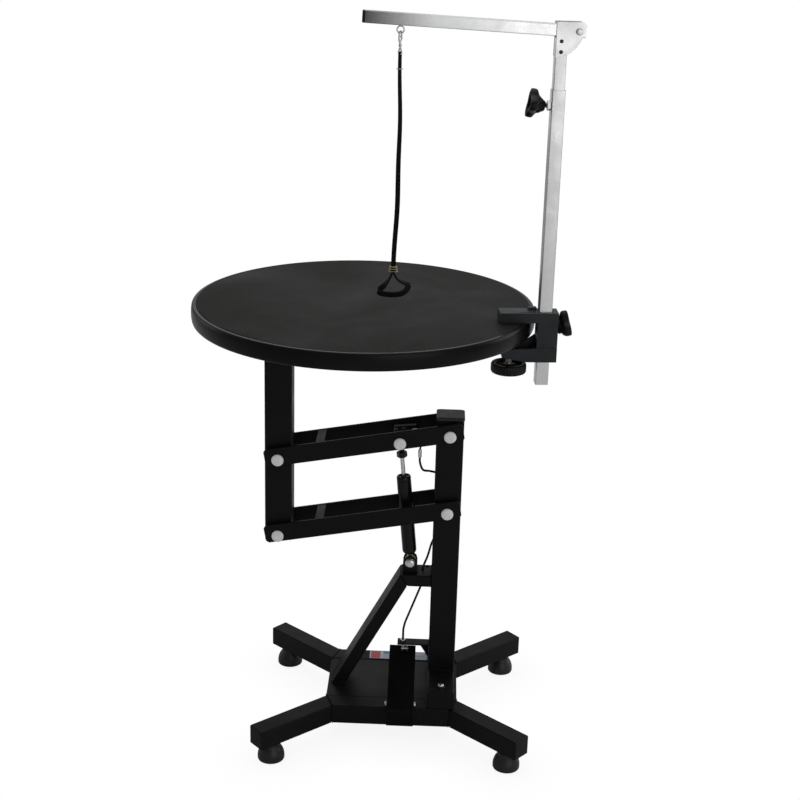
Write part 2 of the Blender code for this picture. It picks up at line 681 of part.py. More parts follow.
# ---------------------------------------------------------------- table
def frame_outline():
    """Plan of the welded frame under the top: a spine with two cross members."""
    half = TUBE / 2
    left = POST_X - half
    right = TABLE_X + 0.160
    bar = 0.015
    reach = 0.190
    crossings = (TABLE_X - 0.130, TABLE_X + 0.130)
    front = [(left, -half)]
    for middle in crossings:
        front += [(middle - bar, -half), (middle - bar, -reach), (middle + bar, -reach),
                  (middle + bar, -half)]
    front += [(right, -half)]
    rear = [(x, -y) for x, y in reversed(front)]
    return front + rear


def edge_profile():
    """Section of the moulding round the top: round outside, with a lip over the board's edge."""
    board_edge = TABLE_RADIUS - 0.0042
    lip = TABLE_RADIUS - 0.0090
    middle = (TABLE_TOP + TABLE_BOTTOM) / 2
    half = (TABLE_TOP - TABLE_BOTTOM) / 2
    points = []
    for step in range(5):
        angle = math.radians(-90 + 45 * step)
        bulge = 0.0040 * math.cos(angle) ** 0.6 if abs(math.cos(angle)) > 1e-6 else 0.0
        points.append((TABLE_RADIUS - 0.0040 + bulge, middle + half * math.sin(angle)))
    points += [(lip, TABLE_TOP), (lip, TABLE_TOP - MAT_THICK), (board_edge, TABLE_TOP - MAT_THICK),
               (board_edge, TABLE_BOTTOM)]
    return points


def build_table(black, wood, edge, mat):
    half = TUBE / 2
    frame_low = TABLE_BOTTOM - GAP - FRAME_HEIGHT
    tube = square_tube(half, half, WALL, LOWER_POST_PIVOT.z - 0.0135, frame_low - GAP)
    post = make_object("table_post", tube, black, (POST_X, 0, 0))
    for name, place in (("upper", UPPER_POST_PIVOT), ("lower", LOWER_POST_PIVOT)):
        hole = turn_z_to(rod(PIN_RADIUS + GAP, -0.04, 0.04, 20), "Y")
        combine(post, cutter("post_hole_" + name, hole, origin=place))
    frame = make_object("table_frame", prism(frame_outline(), frame_low, TABLE_BOTTOM - GAP, "Z"),
                        black)
    soften(frame, 0.0015)

    centre = (TABLE_X, 0, 0)
    board_radius = TABLE_RADIUS - 0.0042 - GAP
    board = rod(board_radius, TABLE_BOTTOM, TABLE_TOP - MAT_THICK - GAP, 72)
    make_object("table_board", board, wood, centre, smooth=True)
    make_object("table_edge", turned(edge_profile(), 72, closed=True), edge, centre, smooth=True)
    mat_radius = TABLE_RADIUS - 0.0090 - GAP
    sheet = rod(mat_radius, TABLE_TOP - MAT_THICK, TABLE_TOP, 72)
    make_object("table_mat", sheet, mat, centre, smooth=True)


# ---------------------------------------------------------------- grooming arm
def build_clamp(frame, cast, zinc, plastic):
    tip = -0.080
    body_left = -0.0131
    body_right = 0.0223
    jaw_low = TABLE_TOP + GAP
    jaw_high = jaw_low + 0.0175
    bottom = 0.760
    outline = [(tip, jaw_low), (body_left, jaw_low), (body_left, 0.785), (-0.0727, 0.7810),
               (-0.0727, 0.7680), (-0.030, bottom), (body_right, bottom), (body_right, jaw_high),
               (tip, jaw_high)]
    clamp = make_object("clamp_bracket", prism(outline, -CLAMP_HALF, CLAMP_HALF), cast, parent=frame)
    soften(clamp, 0.0015)
    half = POST_SIZE / 2 + GAP
    combine(clamp, cutter("clamp_post_hole", box((-half, -half, 0.7), (half, half, 0.9)),
                          parent=frame))
    screw_hole = moved(rod(0.005 + GAP, 0.74, 0.80, 20), (CLAMP_SCREW_U, 0, 0))
    combine(clamp, cutter("clamp_screw_hole", screw_hole, parent=frame))
    knob_hole = moved(turn_z_to(rod(KNOB_STEM + GAP, 0.0, 0.03, 16), "X"), (0.006, 0, CLAMP_KNOB_Z))
    combine(clamp, cutter("clamp_knob_hole", knob_hole, parent=frame))

    place = (CLAMP_SCREW_U, 0, 0)
    pad_top = TABLE_BOTTOM - GAP
    wheel_top = 0.7545
    profile = [(0, wheel_top + GAP), (0.005, wheel_top + GAP), (0.005, pad_top - 0.007),
               (0.0115, pad_top - 0.005), (0.0130, pad_top - 0.003), (0.0130, pad_top),
               (0, pad_top)]
    make_object("clamp_screw", turned(profile, 24), zinc, place, parent=frame, smooth=True)
    wheel_low = wheel_top - 0.017
    profile = [(0, wheel_low), (0.028, wheel_low), (0.031, wheel_low + 0.003),
               (0.031, wheel_top - 0.003), (0.028, wheel_top), (0, wheel_top)]
    make_object("clamp_wheel", turned(profile, 28), plastic, place, parent=frame, smooth=True)
    make_knob("clamp_knob", 1, CLAMP_KNOB_Z, half + 0.0002, 0.031, frame, plastic)


def make_knob(name, side, height, stem_start, head_start, frame, plastic):
    """A three-lobed knob on a screw that points at the post from one side."""
    turn = (0, 0, 0 if side > 0 else math.pi)
    head = prism(star_outline(3, 0.0265, 0.0150), head_start, head_start + KNOB_THICK, "Z")
    bmesh.ops.rotate(head, matrix=Matrix.Rotation(math.pi, 3, "Z"), verts=head.verts)
    knob = make_object(name, turn_z_to(head, "X"), plastic, (0, 0, height), turn, frame)
    soften(knob, 0.002)
    stem = turn_z_to(rod(KNOB_STEM, stem_start, head_start + KNOB_STEM, 16), "X")
    combine(knob, cutter(name + "_stem", stem, origin=(0, 0, height), rotation=turn, parent=frame),
            "UNION")


def build_posts(frame, chrome, plastic):
    half = POST_SIZE / 2
    tube = square_tube(half, half, POST_WALL, POST_BOTTOM, POST_TOP, 0.0018)
    outer = make_object("outer_post", tube, chrome, parent=frame)
    hole = moved(turn_z_to(rod(KNOB_STEM + GAP, -0.03, 0.0, 16), "X"), (0, 0, POST_KNOB_Z))
    combine(outer, cutter("outer_post_hole", hole, parent=frame))
    half = INNER_SIZE / 2
    tube = square_tube(half, half, INNER_WALL, INNER_BOTTOM, INNER_TOP, 0.0015)
    make_object("inner_post", tube, chrome, parent=frame)
    make_knob("post_knob", -1, POST_KNOB_Z, half + GAP, 0.0270, frame, plastic)


def corner_plate_outline():
    """Quarter-round cheek: straight at the post side and on top, round towards the free corner."""
    left = -0.0098
    top = 1.3335
    reach = 0.048
    drop = 0.0565
    chamfer = 0.005
    points = [(left, top - drop)]
    for step in range(1, 6):
        angle = math.radians(90 * (1 - step / 6))
        points.append((left + reach * math.cos(angle), top - drop * math.sin(angle)))
    points += [(left + reach, top - chamfer), (left + reach - chamfer, top), (left, top)]
    return points


def build_boom(frame, chrome, zinc, plastic):
    inner = INNER_SIZE / 2 + 2 * GAP
    sheet = 0.0022
    bolt = 0.003
    for name, low, high in (("corner_plate_front", -inner - sheet, -inner),
                            ("corner_plate_rear", inner, inner + sheet)):
        plate = make_object(name, prism(corner_plate_outline(), low, high), chrome, parent=frame)
        hole = moved(turn_z_to(rod(bolt + GAP, -0.03, 0.03, 16), "Y"),
                     (BOOM_PIVOT_U, 0, BOOM_PIVOT_Z))
        combine(plate, cutter(name + "_hole", hole, parent=frame))
    face = inner + sheet + GAP
    profile = [(0, -face - 0.0040), (0.0045, -face - 0.0036), (0.0056, -face - 0.0015),
               (0.0056, -face), (bolt, -face), (bolt, face), (0.0056, face),
               (0.0056, face + 0.0015), (0.0045, face + 0.0036), (0, face + 0.0040)]
    make_object("corner_bolt", turn_z_to(turned(profile, 20), "Y"), zinc,
                (BOOM_PIVOT_U, 0, BOOM_PIVOT_Z), parent=frame, smooth=True)

    pivot = make_frame("boom_pivot", (BOOM_PIVOT_U, 0, BOOM_PIVOT_Z), (0, BOOM_TILT, 0), frame)
    half = INNER_SIZE / 2
    tube = turn_z_to(square_tube(half, half, INNER_WALL, -BOOM_LENGTH, BOOM_TAIL, 0.0015), "X")
    boom = make_object("boom", tube, chrome, parent=pivot)
    hole = turn_z_to(rod(bolt + GAP, -0.03, 0.03, 16), "Y")
    combine(boom, cutter("boom_hole", hole, parent=pivot))
    inside = half - INNER_WALL - GAP
    levels = [(half - 0.0008, -BOOM_LENGTH - 0.0040), (half, -BOOM_LENGTH - 0.0032),
              (half, -BOOM_LENGTH - GAP), (inside, -BOOM_LENGTH - GAP), (inside, 0.012 - BOOM_LENGTH)]
    make_object("boom_plug", turn_z_to(stacked_block(levels, 0.0015), "X"), plastic, parent=pivot)


def tether_place():
    """The axis the tether swings about, as (u, z): the centre of the ring under the boom."""
    along = -TETHER_AT * math.cos(BOOM_TILT)
    rise = TETHER_AT * math.sin(BOOM_TILT)
    under = INNER_SIZE / 2 / math.cos(BOOM_TILT)
    drop = RING_RADIUS + RING_WIRE + GAP
    return BOOM_PIVOT_U + along, BOOM_PIVOT_Z + rise - under - drop


def hook_outline(width, low, high, steps=4):
    """A long closed loop: two straight sides with a half round at each end."""
    half = width / 2
    points = []
    for step in range(steps + 1):
        angle = math.pi * step / steps
        points.append((half * math.cos(angle), high - half + half * math.sin(angle)))
    for step in range(steps + 1):
        angle = math.pi + math.pi * step / steps
        points.append((half * math.cos(angle), low + half + half * math.sin(angle)))
    return points


def noose_outline(width, low, high):
    """A drop-shaped loop that comes to a point at the top."""
    points = [(0.0, high)]
    steps = 10
    radius_z = (high - low) * 0.30
    for step in range(steps + 1):
        angle = math.radians(20 - 220 * step / steps)
        points.append((width / 2 * math.cos(angle), low + radius_z + radius_z * math.sin(angle)))
    return points


def build_tether(frame, zinc, webbing):
    u, axis_z = tether_place()
    ring = [(RING_RADIUS * math.cos(math.radians(30 * step)),
             RING_RADIUS * math.sin(math.radians(30 * step))) for step in range(12)]
    make_object("tether_ring", wire_loop(ring, RING_WIRE), zinc, (u, 0, axis_z), parent=frame,
                smooth=True)

    hook_high = axis_z - RING_RADIUS + RING_WIRE + HOOK_WIRE + GAP
    bm = wire_loop(hook_outline(HOOK_WIDTH, HOOK_LOW - axis_z, hook_high - axis_z), HOOK_WIRE)
    bmesh.ops.rotate(bm, matrix=Matrix.Rotation(math.radians(90), 3, "Z"), verts=bm.verts)
    make_object("snap_hook", bm, zinc, (u, 0, axis_z), parent=frame, smooth=True)

    strap_top = HOOK_LOW - HOOK_WIRE - GAP
    half_width = 0.0045
    half_thick = 0.0018
    noose = wire_loop(noose_outline(0.057, NOOSE_BOTTOM - axis_z + 0.002, NOOSE_TOP - axis_z), 0.0022)
    strap = make_object("strap", noose, webbing, (u, 0, axis_z), parent=frame)
    band = box((-half_width, -half_thick, NOOSE_TOP - axis_z - 0.004),
               (half_width, half_thick, strap_top - axis_z))
    combine(strap, cutter("strap_band", band, origin=(u, 0, axis_z), parent=frame), "UNION")


# ---------------------------------------------------------------- whole object
def place_origin():
    """Move everything so that the origin lies under the middle of the outline."""
    for thing in bpy.data.objects:
        if thing.parent is None:
            thing.location.x -= OUTLINE_MIDDLE_X


def main():
    for thing in list(bpy.data.objects):
        bpy.data.objects.remove(thing, do_unlink=True)

    black = make_material("black_powder_coat", (0.016, 0.016, 0.017), 0.42)
    black_plastic = make_material("black_plastic", (0.014, 0.014, 0.015), 0.35)
    rubber = make_material("black_rubber", (0.020, 0.021, 0.023), 0.75)
    grey_plastic = make_material("grey_plastic", (0.055, 0.055, 0.058), 0.5)
    nylon = make_material("white_nylon", (0.78, 0.79, 0.78), 0.35)
    zinc = make_material("zinc_plate", (0.60, 0.60, 0.58), 0.3, 1.0)
    brass = make_material("yellow_zinc", (0.36, 0.31, 0.20), 0.4, 1.0)
    chrome = make_material("chrome_plate", (0.72, 0.72, 0.71), 0.22, 1.0)
    steel = make_material("dark_steel", (0.10, 0.10, 0.10), 0.4, 0.8)
    wood = make_material("plywood", (0.30, 0.20, 0.11), 0.7)
    edge = make_material("edge_moulding", (0.016, 0.016, 0.018), 0.32)
    mat = make_material("rubber_mat", (0.034, 0.030, 0.027), 0.6)
    cast = make_material("grey_cast_metal", (0.035, 0.037, 0.042), 0.5)
    webbing = make_material("black_webbing", (0.015, 0.015, 0.015), 0.8)

    build_base(black)
    build_legs_and_feet(black, rubber)
    build_column(black, grey_plastic)
    build_support(black)
    build_spring_mount(black, zinc)
    build_cable_bracket(black)
    build_cables(black_plastic)
    build_pedal(black, zinc)
    build_arms(black, nylon)
    build_spring(black, brass, chrome, steel)
    build_table(black, wood, edge, mat)
    frame = make_frame("grooming_arm_frame", ARM_FRAME, (0, 0, ARM_YAW))
    build_clamp(frame, cast, zinc, black_plastic)
    build_posts(frame, chrome, black_plastic)
    build_boom(frame, chrome, zinc, black_plastic)
    build_tether(frame, zinc, webbing)
    place_origin()


main()
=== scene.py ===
"""Looks for the round grooming table: finishes, small hardware, tether, lights and camera.

Metres, +Z up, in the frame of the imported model.  Round and cast pieces are built again finer than
in the CAD; plain sheet and tube pieces keep their CAD mesh and get their finish here.
"""
import json
import math
import random

import bmesh
import bpy
from mathutils import Matrix, Vector


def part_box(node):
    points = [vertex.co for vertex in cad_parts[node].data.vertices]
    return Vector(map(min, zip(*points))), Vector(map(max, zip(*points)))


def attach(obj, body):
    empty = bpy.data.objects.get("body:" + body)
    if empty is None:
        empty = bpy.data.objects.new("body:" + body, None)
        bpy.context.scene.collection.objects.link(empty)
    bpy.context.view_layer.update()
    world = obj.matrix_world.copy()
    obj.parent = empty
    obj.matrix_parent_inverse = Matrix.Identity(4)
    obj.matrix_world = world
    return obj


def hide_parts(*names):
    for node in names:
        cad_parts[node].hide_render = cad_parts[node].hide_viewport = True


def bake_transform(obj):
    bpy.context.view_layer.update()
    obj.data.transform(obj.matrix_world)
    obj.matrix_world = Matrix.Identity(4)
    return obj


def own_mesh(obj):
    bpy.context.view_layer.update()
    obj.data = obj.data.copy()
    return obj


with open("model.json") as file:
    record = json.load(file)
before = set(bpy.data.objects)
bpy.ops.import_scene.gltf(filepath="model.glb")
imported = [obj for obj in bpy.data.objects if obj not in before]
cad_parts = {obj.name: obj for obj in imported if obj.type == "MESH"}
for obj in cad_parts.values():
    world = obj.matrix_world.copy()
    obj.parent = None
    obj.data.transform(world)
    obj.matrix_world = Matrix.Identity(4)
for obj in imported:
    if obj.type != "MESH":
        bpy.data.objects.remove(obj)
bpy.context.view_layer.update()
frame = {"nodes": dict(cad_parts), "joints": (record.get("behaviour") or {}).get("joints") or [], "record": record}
JOINTS = {joint["name"]: joint for joint in frame["joints"]}

# ---------------------------------------------------------------- places taken from the frame
TUBE_HALF = 0.025                       # half width of the column and the table post
BAR_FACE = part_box("upper_bar_rear")[1].y
BAR_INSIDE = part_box("upper_bar_rear")[0].y
DECK_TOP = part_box("deck_plate")[1].z
BASE_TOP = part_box("rear_crossbar")[1].z
COLUMN_X = JOINTS["lift"]["pos_m"][0]
BASE_X = (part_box("deck_plate")[0].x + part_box("deck_plate")[1].x) / 2
LABEL_SHIFT = 0.0085                    # the label lies this far right of the base's middle
SPRING_FOOT = Vector(JOINTS["spring_body_swing"]["pos_m"])
SPRING_HEAD = Vector(JOINTS["spring_rod_swing"]["pos_m"])
SPRING_TILT = math.atan2(SPRING_HEAD.x - SPRING_FOOT.x, SPRING_HEAD.z - SPRING_FOOT.z)
PEDAL_PIVOT = Vector(JOINTS["pedal_press"]["pos_m"])
TABLE_LOW, TABLE_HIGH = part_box("table_edge")
TABLE_X = (TABLE_LOW.x + TABLE_HIGH.x) / 2
TABLE_RADIUS = (TABLE_HIGH.x - TABLE_LOW.x) / 2
TABLE_TOP = TABLE_HIGH.z
TABLE_BOTTOM = TABLE_LOW.z
POST_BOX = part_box("outer_post")
BOOM_AXIS = Vector(JOINTS["boom_fold"]["axis"])
ARM_YAW = math.atan2(-BOOM_AXIS.x, BOOM_AXIS.y)
ARM = Matrix.Translation(((POST_BOX[0].x + POST_BOX[1].x) / 2,
                          (POST_BOX[0].y + POST_BOX[1].y) / 2, 0)) @ Matrix.Rotation(ARM_YAW, 4, "Z")
ARM_BACK = ARM.inverted()
TETHER = ARM_BACK @ Vector(JOINTS["tether_hang"]["pos_m"])
CLAMP_SCREW = ARM_BACK @ Vector(JOINTS["clamp_wheel_turn"]["pos_m"])
CLAMP_KNOB_Z = JOINTS["clamp_knob_turn"]["pos_m"][2]
POST_KNOB_Z = JOINTS["post_knob_turn"]["pos_m"][2]
POST_HALF = 0.01125


# ---------------------------------------------------------------- finishes
class Finish:
    """A material's node tree, built one named step at a time."""

    def __init__(self, name, colour, roughness, metallic=0.0, specular=0.5):
        self.material = bpy.data.materials.new(name)
        self.material.use_nodes = True
        self.tree = self.material.node_tree
        self.shader = self.tree.nodes["Principled BSDF"]
        self.set("Base Color", (*colour, 1.0))
        self.set("Roughness", roughness)
        self.set("Metallic", metallic)
        self.set("Specular IOR Level", specular)
        self.material.diffuse_color = (*colour, 1.0)
        self.place = self.add("TexCoord").outputs["Object"]

    def set(self, socket, value, node=None):
        target = (node or self.shader).inputs[socket]
        if isinstance(value, bpy.types.NodeSocket):
            self.tree.links.new(value, target)
        else:
            target.default_value = value

    def add(self, kind, settings=None, **values):
        node = self.tree.nodes.new("ShaderNode" + kind)
        for key, value in (settings or {}).items():
            setattr(node, key, value)
        for key, value in values.items():
            self.set(key.replace("_", " "), value, node)
        return node

    def stretched(self, stretch):
        return self.add("Mapping", Vector=self.place, Scale=stretch).outputs["Vector"]

    def noise(self, scale, detail=3.0, stretch=None, distortion=0.0):
        where = self.stretched(stretch) if stretch else self.place
        return self.add("TexNoise", Vector=where, Scale=scale, Detail=detail,
                        Distortion=distortion).outputs["Fac"]

    def cells(self, scale):
        node = self.add("TexVoronoi", {"feature": "SMOOTH_F1"}, Vector=self.place, Scale=scale)
        return node.outputs["Distance"]

    def waves(self, scale, direction, distortion=0.0):
        return self.add("TexWave", {"bands_direction": direction}, Vector=self.place, Scale=scale,
                        Distortion=distortion).outputs["Fac"]

    def span(self, value, low, high, new_low=0.0, new_high=1.0):
        return self.add("MapRange", Value=value, From_Min=low, From_Max=high, To_Min=new_low,
                        To_Max=new_high).outputs["Result"]

    def math(self, operation, first, second=0.0):
        node = self.add("Math", {"operation": operation})
        self.tree.links.new(first, node.inputs[0])
        if isinstance(second, bpy.types.NodeSocket):
            self.tree.links.new(second, node.inputs[1])
        else:
            node.inputs[1].default_value = second
        return node.outputs[0]

    def mix(self, share, first, second):
        node = self.add("MixRGB", Fac=share)
        for socket, colour in (("Color1", first), ("Color2", second)):
            self.set(socket, (*colour, 1.0) if isinstance(colour, tuple) else colour, node)
        return node.outputs["Color"]

    def over(self, tint, share, strength, colour):
        """The tint with part of another colour laid over it."""
        return self.mix(self.math("MULTIPLY", share, strength), tint, colour)

    def patches(self, scale, detail, low, high, **shape):
        """Noise with only what lies between low and high kept."""
        return self.span(self.noise(scale, detail, **shape), low, high)

    def mottled(self, scale, detail, low, high, dark, light, distortion=0.0):
        """A cloudy noise, and the tint that goes from dark to light with it."""
        cloud = self.noise(scale, detail, distortion=distortion)
        return cloud, self.mix(self.span(cloud, low, high), dark, light)

    def facing_up(self):
        normal = self.add("NewGeometry").outputs["Normal"]
        height = self.add("SeparateXYZ", Vector=normal).outputs["Z"]
        return self.span(height, 0.6, 0.98)

    def edges(self, radius):
        """1 on sharp edges and 0 on flat faces."""
        rounded = self.add("Bevel", {"samples": 4}, Radius=radius).outputs["Normal"]
        flat = self.add("NewGeometry").outputs["Normal"]
        dot = self.add("VectorMath", {"operation": "DOT_PRODUCT"})
        self.tree.links.new(rounded, dot.inputs[0])
        self.tree.links.new(flat, dot.inputs[1])
        return self.span(dot.outputs["Value"], 0.995, 0.90)

    def bump(self, *layers):
        """Each layer is (height, distance in metres, strength)."""
        normal = None
        for height, distance, strength in layers:
            node = self.add("Bump", Height=height, Distance=distance, Strength=strength)
            if normal is not None:
                self.set("Normal", normal, node)
            normal = node.outputs["Normal"]
        self.set("Normal", normal)

    def done(self, tint, roughness, *layers):
        """The material, with its colour, its roughness where that varies, and its bump set."""
        self.set("Base Color", tint)
        if roughness is not None:
            self.set("Roughness", roughness)
        self.bump(*layers)
        return self.material


def coated_steel(name, dark, light, roughness, specular, dust):
    """Powder coat: orange peel, cloudy sheen, a little dust on level faces, and lighter edges that are partly wear
    and partly a painted highlight.
    """
    finish = Finish(name, dark, roughness, specular=specular)
    cloud, tint = finish.mottled(18.0, 4.0, 0.35, 0.70, dark, light)
    specks = finish.patches(520.0, 2.0, 0.66, 0.74)
    tint = finish.over(tint, specks, 0.35, dust)
    settled = finish.math("MULTIPLY", finish.facing_up(), finish.patches(30.0, 6.0, 0.3, 0.75))
    tint = finish.over(tint, settled, 0.45, dust)
    # lighter edges: partly wear in patches, partly a painted highlight along the edges
    worn_and_highlit_edges = finish.math("MULTIPLY", finish.edges(0.0012), finish.patches(60.0, 5.0, 0.42, 0.70))
    tint = finish.over(tint, worn_and_highlit_edges, 0.55, (0.040, 0.040, 0.042))
    ripple, peel = finish.noise(140.0, 2.0), finish.noise(620.0, 2.0)
    return finish.done(tint, finish.span(cloud, 0.3, 0.7, roughness - 0.06, roughness + 0.10),
                       (ripple, 0.0010, 0.06), (peel, 0.0004, 0.16))


def moulded_plastic(name, colour, light, roughness, specular):
    """Moulded plastic: fine spark-eroded grain, soft clouding and scuffed edges."""
    finish = Finish(name, colour, roughness, specular=specular)
    cloud, tint = finish.mottled(45.0, 4.0, 0.35, 0.75, colour, light)
    scuffed = finish.math("MULTIPLY", finish.edges(0.0010), finish.patches(220.0, 4.0, 0.45, 0.7))
    tint = finish.over(tint, scuffed, 0.4, tuple(4 * c + 0.02 for c in colour))
    return finish.done(tint, finish.span(cloud, 0.3, 0.7, roughness - 0.05, roughness + 0.08),
                       (finish.noise(1500.0, 2.0), 0.0003, 0.22))


def rubber(name, colour, light, roughness):
    """Moulded rubber with fine grain, paler where dust settles."""
    finish = Finish(name, colour, roughness, specular=0.35)
    _, tint = finish.mottled(60.0, 5.0, 0.35, 0.7, colour, light)
    tint = finish.over(tint, finish.facing_up(), 0.3, (0.030, 0.031, 0.033))
    return finish.done(tint, None, (finish.noise(900.0, 3.0), 0.0003, 0.35))


def mat_rubber(name):
    """Sheet rubber with a pebbled non-slip face, mottled and faintly dusty."""
    finish = Finish(name, (0.022, 0.019, 0.017), 0.62, specular=0.12)
    cloud, tint = finish.mottled(5.0, 6.0, 0.35, 0.68,
                                 (0.0112, 0.0098, 0.0084), (0.0150, 0.0131, 0.0112), distortion=0.4)
    pebble = finish.cells(430.0)
    fine = finish.noise(1300.0, 2.0)
    tint = finish.mix(finish.span(pebble, 0.25, 0.75, 0.0, 0.55), tint, (0.0062, 0.0055, 0.0048))
    lint = finish.patches(240.0, 2.0, 0.74, 0.80, stretch=(1.0, 0.25, 1.0), distortion=2.0)
    tint = finish.over(tint, lint, 0.22, (0.050, 0.046, 0.042))
    return finish.done(tint, finish.span(cloud, 0.3, 0.7, 0.52, 0.70),
                       (pebble, 0.0009, 0.30), (fine, 0.0003, 0.25))


def edge_moulding(name):
    """Extruded moulding: smooth, with fine lines along the extrusion and a few scuffs."""
    finish = Finish(name, (0.006, 0.0062, 0.0068), 0.42, specular=0.10)
    _, tint = finish.mottled(14.0, 4.0, 0.35, 0.7, (0.0042, 0.0043, 0.0047), (0.0068, 0.0070, 0.0077))
    lines = finish.noise(1.0, 2.0, stretch=(4.0, 4.0, 900.0))
    scuffs = finish.patches(260.0, 3.0, 0.66, 0.78, stretch=(0.25, 0.25, 1.0), distortion=0.8)
    tint = finish.over(tint, scuffs, 0.2, (0.03, 0.03, 0.031))
    return finish.done(tint, finish.span(scuffs, 0.0, 1.0, 0.27, 0.46),
                       (lines, 0.0003, 0.12), (finish.noise(60.0, 2.0), 0.0010, 0.05))


def plated_steel(name, colour, shade, roughness, blotch=0.5, painted_shade_span=None):
    """Plated metal: fine drawn lines, cloudy plating and small handling marks.

    The last argument gives two places along X between which painted shade fades out, so the metal is darker
    towards low X, standing in for a dim reflection there.
    """
    finish = Finish(name, colour, roughness, metallic=1.0)
    lines = finish.noise(900.0, 2.0, stretch=(1.0, 1.0, 1.0 / 40.0))
    cloud = finish.noise(22.0, 5.0, distortion=0.6)
    tint = finish.mix(finish.span(cloud, 0.38, 0.72, 0.0, blotch), colour, shade)
    marks = finish.patches(300.0, 4.0, 0.68, 0.76, stretch=(1.0, 1.0, 0.35), distortion=1.2)
    tint = finish.over(tint, marks, 0.35, tuple(c * 0.55 for c in shade))
    if painted_shade_span:
        start, end = painted_shade_span
        across = finish.add("SeparateXYZ", Vector=finish.place).outputs["X"]
        # painted shade: the metal darkens towards low X, standing in for a dim reflection
        tint = finish.mix(finish.span(across, start, end), tuple(c * 0.20 for c in shade), tint)
    rough = finish.math("ADD", finish.span(cloud, 0.3, 0.7, roughness - 0.04, roughness + 0.08),
                        finish.span(marks, 0.0, 1.0, 0.0, 0.15))
    return finish.done(tint, rough, (lines, 0.0002, 0.14), (finish.noise(70.0, 2.0), 0.0008, 0.05))


def cast_metal(name):
    """Painted casting: coarse sand texture under dark blue-grey paint, rubbed on its edges."""
    finish = Finish(name, (0.018, 0.020, 0.024), 0.40, specular=0.24)
    cloud, tint = finish.mottled(26.0, 5.0, 0.35, 0.7, (0.0125, 0.0140, 0.0170), (0.0205, 0.0225, 0.0265))
    rubbed = finish.math("MULTIPLY", finish.edges(0.0016), finish.patches(90.0, 5.0, 0.40, 0.65))
    tint = finish.over(tint, rubbed, 0.6, (0.075, 0.080, 0.090))
    return finish.done(tint, finish.span(cloud, 0.3, 0.7, 0.36, 0.52),
                       (finish.noise(120.0, 3.0), 0.0010, 0.10), (finish.noise(700.0, 3.0), 0.0004, 0.30))


def white_nylon(name):
    """Slightly translucent nylon with faint stains."""
    finish = Finish(name, (0.82, 0.83, 0.82), 0.34)
    cloud = finish.noise(160.0, 4.0)
    tint = finish.mix(finish.span(cloud, 0.45, 0.75, 0.0, 0.5), (0.84, 0.85, 0.84), (0.70, 0.71, 0.69))
    finish.set("Base Color", tint)
    finish.set("Subsurface Weight", 0.25)
    finish.set("Subsurface Radius", (0.004, 0.004, 0.003))
    finish.set("Subsurface Scale", 0.5)
    finish.bump((finish.noise(700.0, 2.0), 0.0002, 0.15))
    return finish.material


def plywood(name):
    """Raw plywood: long grain on the faces and veneer lines on the edge."""
    finish = Finish(name, (0.30, 0.19, 0.10), 0.72, specular=0.3)
    grain = finish.noise(22.0, 6.0, stretch=(0.35, 6.0, 6.0), distortion=0.8)
    pores = finish.noise(260.0, 3.0, stretch=(0.08, 1.0, 1.0))
    plies = finish.span(finish.waves(70.0, "Z"), 0.4, 0.6)
    tint = finish.mix(finish.span(grain, 0.35, 0.7), (0.36, 0.235, 0.130), (0.22, 0.130, 0.065))
    tint = finish.over(tint, plies, 0.25, (0.15, 0.085, 0.045))
    tint = finish.mix(finish.span(pores, 0.62, 0.75, 0.0, 0.5), tint, (0.10, 0.055, 0.028))
    return finish.done(tint, None, (grain, 0.0004, 0.25), (pores, 0.0004, 0.25))


def webbing(name):
    """Woven nylon: crossing ribs at thread scale with a little fuzz."""
    finish = Finish(name, (0.006, 0.006, 0.006), 0.78, specular=0.10)
    down = finish.waves(230.0, "Z", 0.4)
    across = finish.waves(270.0, "DIAGONAL", 0.4)
    weave = finish.math("MULTIPLY", down, across)
    tint = finish.mix(weave, (0.0030, 0.0030, 0.0032), (0.0100, 0.0098, 0.0095))
    fuzz = finish.noise(900.0, 3.0)
    tint = finish.mix(finish.span(fuzz, 0.6, 0.8, 0.0, 0.4), tint, (0.020, 0.020, 0.019))
    finish.set("Base Color", tint)
    finish.set("Sheen Weight", 0.05)
    finish.bump((weave, 0.0007, 0.55), (fuzz, 0.0003, 0.3))
    return finish.material


def label_paper(name):
    """A pale sticker with plain blocks of colour on it and no lettering."""
    finish = Finish(name, (0.42, 0.47, 0.55), 0.45)
    low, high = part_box("rear_crossbar")
    middle = Vector((BASE_X + LABEL_SHIFT, (low.y + high.y) / 2, BASE_TOP))
    split = finish.add("SeparateXYZ", Vector=finish.place)
    tint = finish.mix(finish.span(finish.noise(120.0, 3.0), 0.4, 0.8, 0.0, 0.4),
                      (0.44, 0.49, 0.57), (0.36, 0.42, 0.50))

    def inside(axis, start, end):
        past = finish.math("GREATER_THAN", split.outputs[axis], start)
        before = finish.math("LESS_THAN", split.outputs[axis], end)
        return finish.math("MULTIPLY", past, before)

    blocks = (((-0.055, -0.036), (-0.014, 0.014), (0.45, 0.055, 0.050)),
              ((-0.030, 0.010), (0.004, 0.014), (0.10, 0.17, 0.32)),
              ((-0.030, 0.052), (-0.003, 0.000), (0.22, 0.27, 0.34)),
              ((-0.030, 0.044), (-0.010, -0.007), (0.22, 0.27, 0.34)))
    for (x0, x1), (y0, y1), colour in blocks:
        share = finish.math("MULTIPLY", inside("X", middle.x + x0, middle.x + x1),
                            inside("Y", middle.y + y0, middle.y + y1))
        tint = finish.mix(share, tint, colour)
    return finish.done(tint, None, (finish.noise(400.0, 2.0), 0.0001, 0.3))


